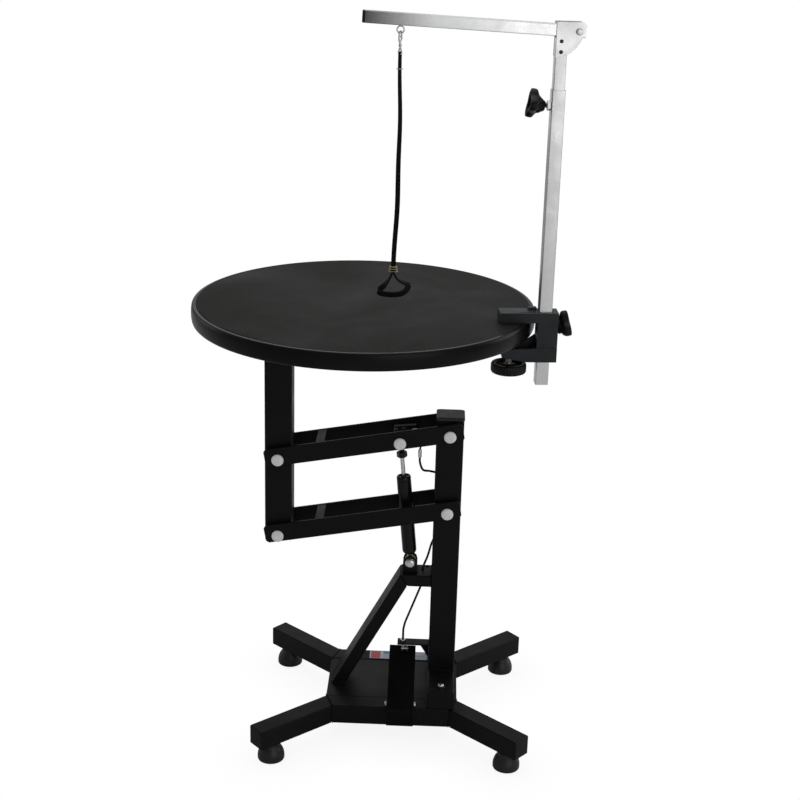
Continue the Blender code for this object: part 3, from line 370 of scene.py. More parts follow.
def make_finishes():
    """Every finish by the name of its slot; each recipe is a function and what it is given."""
    dust = (0.0085, 0.0083, 0.0079)
    boom_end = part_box("boom")[0].x
    # where the painted shade on the boom fades out, from its free end inwards
    boom_painted_shade_span = (boom_end + 0.004, boom_end + 0.115)
    recipes = {
        "black_powder_coat": (coated_steel, (0.0042, 0.0042, 0.0043), (0.0064, 0.0064, 0.0065), 0.42, 0.11,
                              dust),
        "gloss_black": (coated_steel, (0.0034, 0.0034, 0.0036), (0.0050, 0.0050, 0.0053), 0.24, 0.22, dust),
        "black_plastic": (moulded_plastic, (0.0036, 0.0036, 0.0039), (0.0058, 0.0058, 0.0062), 0.36, 0.18),
        "black_rubber": (rubber, (0.0085, 0.0090, 0.0098), (0.0140, 0.0146, 0.0158), 0.42),
        "grey_plastic": (moulded_plastic, (0.030, 0.030, 0.0315), (0.040, 0.040, 0.042), 0.50, 0.22),
        "white_nylon": (white_nylon,),
        "zinc_plate": (plated_steel, (0.68, 0.68, 0.66), (0.50, 0.51, 0.52), 0.27),
        "yellow_zinc": (plated_steel, (0.40, 0.33, 0.20), (0.26, 0.24, 0.15), 0.36),
        "chrome_plate": (plated_steel, (0.68, 0.68, 0.668), (0.56, 0.563, 0.558), 0.25, 0.7),
        "dark_steel": (plated_steel, (0.045, 0.045, 0.048), (0.025, 0.025, 0.026), 0.36),
        "plywood": (plywood,),
        "edge_moulding": (edge_moulding,),
        "rubber_mat": (mat_rubber,),
        "grey_cast_metal": (cast_metal,),
        "black_webbing": (webbing,),
        "label_paper": (label_paper,),
        # the boom's chrome: a brighter copy of the chrome plate (painted reflection), with painted shade darkening
        # it towards its free end
        "boom_chrome": (plated_steel, (0.86, 0.86, 0.846), (0.74, 0.745, 0.74), 0.25, 0.7, boom_painted_shade_span),
        # a darker copy of the black coat, painted shade, for the pedal and the release lever
        "pedal_black": (coated_steel, (0.0022, 0.0022, 0.0023), (0.0034, 0.0034, 0.0035), 0.46, 0.06,
                        (0.007, 0.007, 0.0068)),
    }
    return {name: make(name, *values) for name, (make, *values) in recipes.items()}


FINISH = make_finishes()


# ---------------------------------------------------------------- mesh builders
def new_object(name, data):
    """A new object, linked into the scene."""
    thing = bpy.data.objects.new(name, data)
    bpy.context.scene.collection.objects.link(thing)
    return thing


def new_mesh(name, bm):
    """A mesh with the faces of bm, which is freed."""
    mesh = bpy.data.meshes.new(name)
    bm.to_mesh(mesh)
    bm.free()
    return mesh


def loop_faces(bm, lower, upper):
    """Faces between two rings of points; a ring of one point is the tip of a fan."""
    count = max(len(lower), len(upper))
    for index in range(count):
        following = (index + 1) % count
        if len(lower) == 1:
            bm.faces.new((lower[0], upper[following], upper[index]))
        elif len(upper) == 1:
            bm.faces.new((lower[index], lower[following], upper[0]))
        else:
            bm.faces.new((lower[index], lower[following], upper[following], upper[index]))


def prism(outline, low, high, axis="Z"):
    """A flat outline pushed along one axis: X-Y along Z, X-Z along Y, or Y-Z along X."""
    bm = bmesh.new()
    rings = []
    for depth in (low, high):
        if axis == "Z":
            points = [(a, b, depth) for a, b in outline]
        elif axis == "Y":
            points = [(a, depth, b) for a, b in outline]
        else:
            points = [(depth, a, b) for a, b in outline]
        rings.append([bm.verts.new(point) for point in points])
    loop_faces(bm, rings[0], rings[1])
    bm.faces.new(rings[0])
    bm.faces.new(rings[1])
    return bm


def box(low, high):
    return prism([(low[0], low[1]), (high[0], low[1]), (high[0], high[1]), (low[0], high[1])],
                 low[2], high[2])


def turned(profile, segments=48, wave=None, closed=False):
    """A profile of (radius, height) turned about Z.  wave(angle, radius) may change the radius.

    A closed profile joins its last point to its first, which leaves a hole through the middle.
    """
    bm = bmesh.new()
    rings = []
    for radius, height in profile:
        if radius == 0:
            rings.append([bm.verts.new((0.0, 0.0, height))])
            continue
        ring = []
        for index in range(segments):
            angle = 2 * math.pi * index / segments
            reach = wave(angle, radius) if wave else radius
            ring.append(bm.verts.new((reach * math.cos(angle), reach * math.sin(angle), height)))
        rings.append(ring)
    for lower, upper in zip(rings, rings[1:] + rings[:1] if closed else rings[1:]):
        loop_faces(bm, lower, upper)
    return bm


def measured(start, *points):
    """Profile points in millimetres, their heights counted from start, which is in metres."""
    return [(radius / 1000, start + height / 1000) for radius, height in points]


def rod(radius, low, high):
    """Profile of a plain round rod."""
    return [(0, low), (radius, low), (radius, high), (0, high)]


def threaded(start, pitch, count, crest, root):
    """Profile of a threaded rod: root and crest by turns, closed at both ends."""
    turns = [(crest if step % 2 else root, start + pitch * step) for step in range(count)]
    return [(0, start)] + turns + [(0, turns[-1][1])]


def hex_wave(flat_radius):
    """Radius of a hexagon at an angle, for turned(); round profiles inside it stay round."""
    def reach(angle, radius):
        sector = math.radians(60)
        off = (angle % sector) - sector / 2
        return min(radius, flat_radius / math.cos(off))
    return reach


def nut_profile(across_flats, low, high):
    """Profile of a hexagonal nut with eased corners, for turned() with hex_wave()."""
    corner = across_flats / 2 / math.cos(math.radians(30))
    flat = across_flats / 2
    ease = 0.0006
    return [(0, low), (flat * 0.95, low), (corner, low + ease), (corner, high - ease),
            (flat * 0.95, high), (0, high)]


def path_frames(points, closed):
    """Tangent, and two crossing directions carried smoothly along a path."""
    count = len(points)
    tangents = []
    for index in range(count):
        if closed:
            ahead, behind = points[(index + 1) % count], points[index - 1]
        else:
            ahead, behind = points[min(index + 1, count - 1)], points[max(index - 1, 0)]
        tangents.append((ahead - behind).normalized())
    start = Vector((0, 0, 1)) if abs(tangents[0].z) < 0.9 else Vector((1, 0, 0))
    side = tangents[0].cross(start).normalized()
    frames = []
    for tangent in tangents:
        side = (side - tangent * side.dot(tangent)).normalized()
        frames.append((tangent, side, tangent.cross(side)))
    return frames


def sweep(points, section, closed):
    """A tube along points; section(index, tangent, side, other) gives the offsets of one ring."""
    bm = bmesh.new()
    points = [Vector(point) for point in points]
    rings = []
    for index, axes in enumerate(path_frames(points, closed)):
        rings.append([bm.verts.new(points[index] + offset) for offset in section(index, *axes)])
    for lower, upper in zip(rings, rings[1:]):
        loop_faces(bm, lower, upper)
    if closed:
        loop_faces(bm, rings[-1], rings[0])
    else:
        bm.faces.new(rings[0])
        bm.faces.new(list(reversed(rings[-1])))
    return bm


def wire(points, radius, sides=12, closed=False):
    """A round wire along points.  radius may be a list, one for each point."""
    def section(index, tangent, side, other):
        size = radius[index] if isinstance(radius, list) else radius
        angles = [2 * math.pi * step / sides for step in range(sides)]
        return [(side * math.cos(angle) + other * math.sin(angle)) * size for angle in angles]
    return sweep(points, section, closed)


def band(points, across, widths, thick, closed=False):
    """A flat strap along points; across and widths give its direction and size at each point."""
    outline = [(-0.5, -0.5), (-0.40, -0.62), (0.0, -0.55), (0.40, -0.62), (0.5, -0.5),
               (0.5, 0.5), (0.40, 0.62), (0.0, 0.55), (-0.40, 0.62), (-0.5, 0.5)]

    def section(index, tangent, side, other):
        wide = across[index] - tangent * across[index].dot(tangent)
        wide.normalize()
        deep = tangent.cross(wide)
        return [wide * (a * widths[index]) + deep * (b * thick) for a, b in outline]
    return sweep(points, section, closed)


def smooth_path(points, steps=8, closed=False):
    """A Catmull-Rom line through the points."""
    points = [Vector(point) for point in points]
    count = len(points)
    made = []
    for index in range(count if closed else count - 1):
        before = points[index - 1] if closed or index > 0 else points[0]
        here = points[index]
        ahead = points[(index + 1) % count]
        after = points[(index + 2) % count] if closed else points[min(index + 2, count - 1)]
        for step in range(steps):
            t = step / steps
            made.append(0.5 * ((2 * here) + (ahead - before) * t
                               + (2 * before - 5 * here + 4 * ahead - after) * t ** 2
                               + (3 * here - before - 3 * ahead + after) * t ** 3))
    if not closed:
        made.append(points[-1])
    return made


def join(*parts):
    """Several meshes as one; each stays a closed shell of its own."""
    whole = bmesh.new()
    for part in parts:
        mesh = new_mesh("part", part)
        whole.from_mesh(mesh)
        bpy.data.meshes.remove(mesh)
    return whole


def along(axis, at=(0, 0, 0), spin=0.0):
    """Matrix that lays a shape built along Z onto another axis and moves it."""
    degrees, about = {"X": (90, "Y"), "-X": (-90, "Y"), "Y": (-90, "X"), "-Y": (90, "X"), "Z": (0, "X"),
                      "-Z": (180, "X")}[axis]
    turn = Matrix.Rotation(math.radians(degrees), 4, about)
    return Matrix.Translation(at) @ turn @ Matrix.Rotation(spin, 4, "Z")


def placed(bm, matrix):
    """The same mesh, moved by a matrix."""
    bmesh.ops.transform(bm, matrix=matrix, verts=bm.verts)
    return bm


def make_piece(name, bm, finish, body, replaces=(), bevel=0.0, segments=2, crease=40):
    """A finished piece that rides on a CAD body."""
    bmesh.ops.recalc_face_normals(bm, faces=bm.faces)
    mesh = new_mesh(name, bm)
    mesh.shade_smooth()
    mesh.set_sharp_from_angle(angle=math.radians(crease))
    thing = new_object(name, mesh)
    mesh.materials.append(FINISH[finish])
    if bevel:
        add_bevel(thing, bevel, segments)
    if body:
        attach(thing, body)
    if replaces:
        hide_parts(*replaces)
    return thing


def lathe(name, profile, matrix, finish, body, replaces=(), segments=48, wave=None, crease=40):
    """A turned piece, laid in place by a matrix."""
    return make_piece(name, placed(turned(profile, segments, wave), matrix), finish, body, replaces,
                      crease=crease)


def washer(name, inner, outer, low, high, matrix, finish, body):
    """A flat ring with slightly eased rims."""
    ease = min(0.0004, (high - low) / 4)
    profile = [(inner, low), (outer - ease, low), (outer, low + ease), (outer, high - ease),
               (outer - ease, high), (inner, high)]
    make_piece(name, placed(turned(profile, closed=True), matrix), finish, body)


def hex_nut(name, across_flats, low, high, matrix, finish, body, segments=48, replaces=()):
    lathe(name, nut_profile(across_flats, low, high), matrix, finish, body, replaces, segments,
          hex_wave(across_flats / 2), crease=30)


def add_bevel(thing, width, segments=2):
    modifier = thing.modifiers.new("edge", "BEVEL")
    modifier.width = width
    modifier.segments = segments
    modifier.limit_method = "ANGLE"
    modifier.angle_limit = math.radians(35)
    weighted = thing.modifiers.new("flat_faces", "WEIGHTED_NORMAL")
    weighted.keep_sharp = False


def carve(bm, *tools):
    """Apply (mesh, "DIFFERENCE" or "UNION") tools to a mesh and return the result."""
    def as_object(name, source):
        bmesh.ops.recalc_face_normals(source, faces=source.faces)
        return new_object(name, new_mesh(name, source))

    target = as_object("carved", bm)
    helpers = []
    for tool, operation in tools:
        helper = as_object("tool", tool)
        helpers.append(helper)
        modifier = target.modifiers.new("cut", "BOOLEAN")
        modifier.operation = operation
        modifier.solver = "EXACT"
        modifier.object = helper
    graph = bpy.context.evaluated_depsgraph_get()
    result = bmesh.new()
    result.from_object(target, graph)
    bmesh.ops.remove_doubles(result, verts=result.verts, dist=0.00001)
    bmesh.ops.dissolve_limit(result, angle_limit=math.radians(0.5), verts=result.verts, edges=result.edges)
    for thing in [target] + helpers:
        bpy.data.objects.remove(thing, do_unlink=True)
    return result


# ---------------------------------------------------------------- CAD pieces that stay
def finish_cad_nodes():
    """Finish, smooth shading and eased edges for the CAD nodes that stay in view."""
    slots = {row["node"]: row["material_slot"] for row in frame["record"]["subparts"]}
    # the boom takes the brighter chrome copy, with its painted reflection and painted shade
    slots["boom"] = "boom_chrome"
    # the pedal and the release lever take the darker copy of the black coat: painted shade
    slots["pedal"] = "pedal_black"
    slots["release_lever"] = "pedal_black"
    for name, thing in frame["nodes"].items():
        mesh = thing.data
        mesh.materials.clear()
        mesh.materials.append(FINISH[slots[name]])
        if "custom_normal" in mesh.attributes:
            mesh.attributes.remove(mesh.attributes["custom_normal"])
        mesh.shade_smooth()
        weld = thing.modifiers.new("weld", "WELD")
        weld.merge_threshold = 0.00001
        if name in ROUND_NODES:
            smooth = thing.modifiers.new("flat_faces", "WEIGHTED_NORMAL")
            smooth.keep_sharp = False
            continue
        add_bevel(thing, EDGE_WIDTH.get(name, 0.0004))


ROUND_NODES = ("cable_lower", "table_mat")
EDGE_WIDTH = {"column_cap": 0.0008, "table_board": 0.0002}


# ---------------------------------------------------------------- pivots and springs
PIN_RADIUS = 0.005
GAP = 0.0003
SIDES = (("front", "-Y"), ("rear", "Y"))


def dome_profile(radius, low, high):
    """A cap with a short straight rim and a low dome, from its flat face up."""
    rise = high - low
    points = [(0, low), (radius - 0.0003, low), (radius, low + 0.0003), (radius, low + 0.34 * rise)]
    for step in range(1, 8):
        angle = math.radians(90 * step / 8)
        points.append((radius * math.cos(angle) ** 0.8, low + rise * (0.34 + 0.66 * math.sin(angle))))
    points.append((0, high))
    return points


def build_pivots():
    """White domed caps outside the bars, spacers inside them and the steel pin between."""
    cap_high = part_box("upper_column_pin")[1].y
    cap_radius, spacer_radius, valve_block = 0.01125, 0.0098, 0.0125
    pins = (("upper_column_pin", "base", TUBE_HALF), ("lower_column_pin", "base", TUBE_HALF),
            ("upper_post_pin", "upper_arm", TUBE_HALF), ("lower_post_pin", "lower_arm", TUBE_HALF),
            ("spring_top_pin", "upper_arm", valve_block))
    for node, body, inner_face in pins:
        low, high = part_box(node)
        at = (low + high) / 2
        for side, axis in SIDES:
            lathe(node + "_cap_" + side, dome_profile(cap_radius, BAR_FACE + GAP, cap_high),
                  along(axis, at), "white_nylon", body, (node,), crease=50)
            washer(node + "_spacer_" + side, PIN_RADIUS, spacer_radius, inner_face + GAP,
                   BAR_INSIDE - GAP, along(axis, at), "black_plastic", body)
        lathe(node + "_core", rod(PIN_RADIUS, -BAR_FACE, BAR_FACE), along("Y", at), "zinc_plate", body,
              segments=32)


def build_gas_spring():
    """The cylinder and what its foot is bolted with; the rod, its lock nut and the valve block."""
    foot = Matrix.Translation(SPRING_FOOT) @ Matrix.Rotation(SPRING_TILT, 4, "Y")
    head = Matrix.Translation(SPRING_HEAD) @ Matrix.Rotation(SPRING_TILT, 4, "Y")
    tube_start, tube_end = 0.016, 0.174
    profile = (measured(tube_start, (0, 0), (8.2, 0), (10, 1.2), (12.2, 3.5), (13.1, 5.8), (13.3, 8))
               + measured(tube_end, (13.3, -10.5), (12.6, -9.7), (12.6, -8.5), (13.3, -7.7), (13.3, -3),
                          (12.3, -0.8), (10.5, 0), (9.3, -0.3), (8.7, -2.2), (5.2, -2.2), (4.6, -2.6))
               + measured(tube_start, (4.6, 10), (0, 10)))
    lathe("spring_tube", profile, foot, "gloss_black", "gas_spring_body", ("spring_cylinder",), 64,
          crease=30)
    profile = measured(0, (0, -195), (3.6, -195), (3.9, -194.5), (3.9, -40), (3.6, -39.7), (0, -39.7))
    lathe("spring_rod_bright", profile, head, "chrome_plate", "gas_spring_rod", ("spring_rod",), 40)
    hex_nut("spring_lock_nut", 0.017, -0.0396, -0.0290, head, "gloss_black", "gas_spring_rod", 72)
    lathe("spring_thread", threaded(-0.0289, 0.001, 17, 0.0047, 0.0042), head, "dark_steel",
          "gas_spring_rod", segments=32)
    block_low, block_high = -0.0125, 0.0167
    profile = (measured(block_low, (0, 0), (10.8, 0), (12, 1.2))
               + measured(block_high, (12, -2.5), (11.2, -0.8), (9.4, 0), (6.6, 0), (6, -0.8), (4.2, -0.8),
                          (4.2, 1.6), (3.6, 2.2), (0, 2.2)))
    lathe("spring_valve_block", profile, head, "grey_cast_metal", "gas_spring_rod",
          ("spring_top_block",), 56, crease=30)

    clevis_face, washer_face = 0.0123, 0.0137
    for side, axis in SIDES:
        at = along(axis, SPRING_FOOT)
        washer("spring_bolt_washer_" + side, PIN_RADIUS - 0.001, 0.0094, clevis_face, washer_face, at,
               "zinc_plate", "base")
        if side == "front":
            lathe("spring_bolt_end_front", dome_profile(0.0088, washer_face, 0.0187), at, "zinc_plate",
                  "base", ("spring_bolt",), crease=30)
        else:
            hex_nut("spring_bolt_end_rear", 0.015, washer_face, 0.0190, at, "zinc_plate", "base", 72,
                    ("spring_bolt",))
    lathe("spring_bolt_shank", rod(PIN_RADIUS, -washer_face, washer_face), along("Y", SPRING_FOOT),
          "zinc_plate", "base", segments=32)
    for side, axis in SIDES:
        washer("spring_eye_washer_" + side, PIN_RADIUS + 0.0001, 0.0090, 0.0070, 0.0079,
               along(axis, SPRING_FOOT), "dark_steel", "gas_spring_body")


# ---------------------------------------------------------------- feet
def build_feet():
    """Rubber feet with a hollow under each, and the threaded stems above them."""
    profile = measured(0, (0, 0), (15, 0), (15.6, 0.6), (18, 0.6), (18.6, 0), (22.2, 0), (24, 0.7),
                       (24.8, 2.5), (24.8, 8.8), (24.5, 11.5), (23.8, 14.5), (22.7, 17.8), (21.2, 21),
                       (19.5, 24), (18, 26.2), (16.9, 28), (16.5, 29.2), (16.5, 33), (16, 33.5), (0, 33.5))
    foot_top = profile[-1][1]
    for corner in ("front_left", "front_right", "rear_left", "rear_right"):
        low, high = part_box("foot_" + corner)
        at = Matrix.Translation(((low.x + high.x) / 2, (low.y + high.y) / 2, 0))
        body = "levelling_foot_" + corner
        lathe("rubber_foot_" + corner, profile, at, "black_rubber", body, ("foot_" + corner,), 64,
              crease=30)
        lathe("foot_stem_" + corner, threaded(foot_top, 0.001, 27, 0.0049, 0.0044), at, "zinc_plate",
              body, segments=28)


# ---------------------------------------------------------------- base hardware
def build_base_hardware():
    """Column foot bolts, the blank label, the cable adjuster and the yoke on the pedal."""
    foot_low, foot_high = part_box("column_foot")
    top = foot_high.z
    washer_top = top + 0.0014
    bolt_inset = 0.0235
    for side, y in (("front", foot_low.y + bolt_inset), ("rear", foot_high.y - bolt_inset)):
        at = Matrix.Translation((COLUMN_X, y, 0))
        washer("column_foot_washer_" + side, 0.003, 0.0085, top, washer_top, at, "dark_steel", "base")
        lathe("column_foot_bolt_" + side, dome_profile(0.0058, washer_top, top + 0.0058), at,
              "zinc_plate", "base", segments=40, crease=50)

    bar_low, bar_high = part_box("rear_crossbar")
    outline = rounded_rectangle(BASE_X + LABEL_SHIFT, (bar_low.y + bar_high.y) / 2, 0.0575, 0.0150, 0.003)
    make_piece("blank_label", prism(outline, BASE_TOP + 0.0001, BASE_TOP + 0.0005), "label_paper", "base")

    plate_low, plate_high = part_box("cable_bracket")
    cable_x = PEDAL_PIVOT.x
    at = Matrix.Translation((cable_x, 0, 0))
    # nothing stands below the plate, where the pedal's rear edge rises
    hex_nut("adjuster_nut", 0.010, plate_high.z, plate_high.z + 0.0045, at, "zinc_plate", "base")
    profile = threaded(plate_low.z + 0.0002, 0.0008, 20, 0.0031, 0.0027)
    top = profile[-1][1]
    profile = profile[:-1] + measured(top, (4, 0), (4, 7.5), (3, 9), (0, 9))
    lathe("adjuster_barrel", profile, at, "zinc_plate", "base", segments=32, crease=30)

    pedal_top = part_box("pedal")[1].z
    yoke_x = cable_x + 0.004
    for side, x in (("left", yoke_x - 0.0055), ("right", yoke_x + 0.0040)):
        cheek = box((x, -0.0110, pedal_top - 0.0100), (x + 0.0015, -0.0030, pedal_top + 0.0006))
        make_piece("cable_yoke_" + side, cheek, "zinc_plate", "foot_pedal", bevel=0.0005)
    cross = placed(turned(rod(0.0024, -0.0068, 0.0068), 24),
                   along("X", (yoke_x - 0.0002, -0.0070, pedal_top - 0.0030)))
    make_piece("cable_yoke_pin", cross, "zinc_plate", "foot_pedal", bevel=0.0004)


def rounded_rectangle(x, y, half_x, half_y, radius, steps=5):
    """Outline of a rectangle centred on (x, y), its corners rounded in a few steps."""
    points = []
    for quarter in range(4):
        corner_x = (half_x - radius) * (1 if quarter in (0, 3) else -1)
        corner_y = (half_y - radius) * (1 if quarter in (0, 1) else -1)
        for step in range(steps + 1):
            angle = math.radians(90 * (quarter + step / steps))
            points.append((x + corner_x + radius * math.cos(angle),
                           y + corner_y + radius * math.sin(angle)))
    return points


def bead(points, size, chance, pitch=0.0042):
    """A weld bead: a rippled round line along straight runs between the points."""
    line = []
    for start, end in zip(points, points[1:]):
        start, end = Vector(start), Vector(end)
        count = max(2, int((end - start).length / pitch * 3))
        line += [start.lerp(end, step / count) for step in range(count)]
    line.append(Vector(points[-1]))
    sizes = [size * (0.86 + 0.16 * math.sin(2.1 * index) + 0.10 * chance.random())
             for index in range(len(line))]
    sizes[0] = sizes[-1] = size * 0.4
    return wire(line, sizes, 8)


def around(left, right, front, rear, z):
    """The corners of a level rectangle, back to the first one."""
    return [(left, front, z), (right, front, z), (right, rear, z), (left, rear, z), (left, front, z)]


def build_welds():
    """Painted weld beads where the tubes of the base, column and table frame meet."""
    chance = random.Random(7)
    half = TUBE_HALF
    plate_corner, plate_x, plate_y, plate_deep = 0.1093, 0.124, 0.0676, 0.038
    runs = []                           # each is the size of a bead and the points it follows

    def crossing(size, x, front, rear, z):
        runs.append((size, [(x, front, z), (x, rear, z)]))

    for sx in (-1, 1):
        for sy in (-1, 1):
            corner = (BASE_X + sx * plate_corner, sy * plate_corner)
            end = (BASE_X + sx * plate_x, sy * plate_y)
            runs.append((0.0013, [(*corner, BASE_TOP), (*end, BASE_TOP)]))
            for x, y in (corner, end):
                runs.append((0.0013, [(x, y, BASE_TOP), (x, y, BASE_TOP - plate_deep)]))
    foot_low, foot_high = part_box("column_foot")
    for y in (-half, half):
        runs.append((0.0012, [(COLUMN_X + y, y, foot_high.z), (COLUMN_X - y, y, foot_high.z)]))
    for x in (foot_low.x, foot_high.x):
        crossing(0.0014, x, foot_low.y + 0.004, foot_high.y - 0.004, BASE_TOP)
    bracket_low, bracket_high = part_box("support_bracket")
    for z in (bracket_high.z, bracket_low.z):
        crossing(0.0014, bracket_high.x, -half + 0.002, half - 0.002, z)
    brace_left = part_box("brace")[0].x
    brace_right = brace_left + 0.0261
    runs.append((0.0017, around(brace_left, brace_right, -half, half, DECK_TOP + 0.0004)))
    cable_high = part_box("cable_bracket")[1]
    crossing(0.0012, cable_high.x, -0.010, 0.010, cable_high.z)
    clevis_low, clevis_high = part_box("spring_clevis")
    for x in (clevis_low.x, clevis_high.x):
        crossing(0.0011, x, clevis_low.y, clevis_high.y, clevis_low.z)
    beads = [bead(points, size, chance) for size, points in runs]
    make_piece("base_welds", join(*beads), "black_powder_coat", "base", crease=80)

    low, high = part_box("table_post")
    post_bead = bead(around(low.x, high.x, low.y, high.y, high.z), 0.0016, chance)
    make_piece("table_post_weld", join(post_bead), "black_powder_coat", "table_top", crease=80)


def build_arm_details():
    """Welds of the tie straps, and the bridge that carries the release cable."""
    chance = random.Random(11)
    pivot = Vector(JOINTS["lift"]["pos_m"])
    end = Vector(JOINTS["table_level"]["pos_m"])
    slope = Matrix.Rotation(-math.atan2(pivot.z - end.z, pivot.x - end.x), 4, "Y")
    arm = Matrix.Translation(pivot) @ slope
    lower = Matrix.Translation(Vector(JOINTS["lower_arm_follow"]["pos_m"])) @ slope
    tie_at, tie_half, tie_top = 0.236, 0.008, 0.0213
    for name, matrix, body in (("upper", arm, "upper_arm"), ("lower", lower, "lower_arm")):
        beads = []
        for side in (-1, 1):
            y = side * (BAR_INSIDE - 0.0004)
            run = [(-tie_at - tie_half, y, tie_top), (-tie_at + tie_half, y, tie_top)]
            beads.append(bead(run, 0.0013, chance))
        make_piece(name + "_tie_welds", placed(join(*beads), matrix), "black_powder_coat", body, crease=80)

    bridge_at, bridge_half, bridge_wide = 0.0640, 0.006, BAR_INSIDE - 0.0004
    bridge_low, bridge_high, nut_high = 0.0040, 0.0068, 0.0108
    bridge = box((-bridge_at - bridge_half, -bridge_wide, bridge_low),
                 (-bridge_at + bridge_half, bridge_wide, bridge_high))
    make_piece("cable_bridge", placed(bridge, arm), "black_powder_coat", "upper_arm", bevel=0.0006)
    for name, low, high in (("top", bridge_high, nut_high), ("bottom", 0.0, bridge_low)):
        hex_nut("bridge_nut_" + name, 0.0095, low, high, arm @ Matrix.Translation((-bridge_at, 0, 0)),
                "zinc_plate", "upper_arm")
    profile = measured(0, (0, -8), (3, -8), (3.4, -7), (3.4, 5), (2.6, 8), (0, 8))
    lathe("cable_ferrule", profile, Matrix.Translation((BASE_X + 0.0390, 0, 0.5450)), "zinc_plate",
          "upper_arm", segments=28)
    sleeve = smooth_path([arm @ Vector((-bridge_at, 0, 0.0)), (BASE_X + 0.0405, 0, 0.5680),
                          (BASE_X + 0.0390, 0, 0.5530)], 6)
    make_piece("cable_sleeve", wire(sleeve, 0.0017), "black_plastic", "upper_arm")
    lever_low, lever_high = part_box("release_lever")
    lever_end = Vector((lever_high.x - 0.004, 0, lever_low.z + 0.001))
    bridge_top = arm @ Vector((-bridge_at, 0, nut_high))
    inner = smooth_path([lever_end + Vector((0, 0, 0.004)), lever_end.lerp(bridge_top, 0.5), bridge_top], 6)
    cable = make_piece("release_wire", wire(inner, 0.0008, 10), "zinc_plate", None)
    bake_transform(cable)

    behind = TUBE_HALF + 0.0033
    points = [(39, 0, 537.2), (40, 0.5, 525), (46, 8, 509), (59, 23, 501)]
    points = [(x / 1000, y / 1000, z / 1000) for x, y, z in points]
    points += [(0.0720, behind - 0.001, 0.4950), (0.0785, behind, 0.4800), (0.0795, behind, 0.4600),
               (0.0795, behind, 0.4300)]
    points = [(BASE_X + x, y, z) for x, y, z in points]
    hose = make_piece("cable_upper_smooth", wire(smooth_path(points), 0.0021, 14), "black_plastic", None,
                      ("cable_upper",))
    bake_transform(hose)


# ---------------------------------------------------------------- table
def build_table():
    """The rolled edge moulding, finer than in the CAD, and the screws under the top."""
    middle = (TABLE_TOP + TABLE_BOTTOM) / 2
    half = (TABLE_TOP - TABLE_BOTTOM) / 2
    lip = TABLE_RADIUS - 0.0090
    board_edge = TABLE_RADIUS - 0.0042
    mat_low = TABLE_TOP - 0.003
    profile = []
    for step in range(17):
        angle = math.radians(-90 + 180 * step / 16)
        bulge = 0.0040 * max(math.cos(angle), 0.0) ** 0.6
        profile.append((TABLE_RADIUS - 0.0040 + bulge, middle + half * math.sin(angle)))
    profile += [(lip + 0.0006, TABLE_TOP), (lip + 0.0001, TABLE_TOP - 0.0004), (lip, mat_low),
                (board_edge, mat_low), (board_edge, TABLE_BOTTOM)]
    edge = placed(turned(profile, 256, closed=True), Matrix.Translation((TABLE_X, 0, 0)))
    make_piece("rolled_edge", edge, "edge_moulding", "table_top", ("table_edge",), crease=50)

    frame_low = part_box("table_frame")[0].z
    heads = []
    for x in (TABLE_X - 0.130, TABLE_X + 0.130):
        for y in (-0.170, -0.095, 0.095, 0.170):
            head = turned(dome_profile(0.0055, 0.0, 0.0034), 28)
            heads.append(placed(head, along("-Z", (x, y, frame_low))))
    make_piece("frame_screws", join(*heads), "zinc_plate", "table_top", crease=50)


# ---------------------------------------------------------------- grooming arm
def in_arm(bm):
    """Moves a mesh built about the post's axis into the grooming arm's place."""
    return placed(bm, ARM)


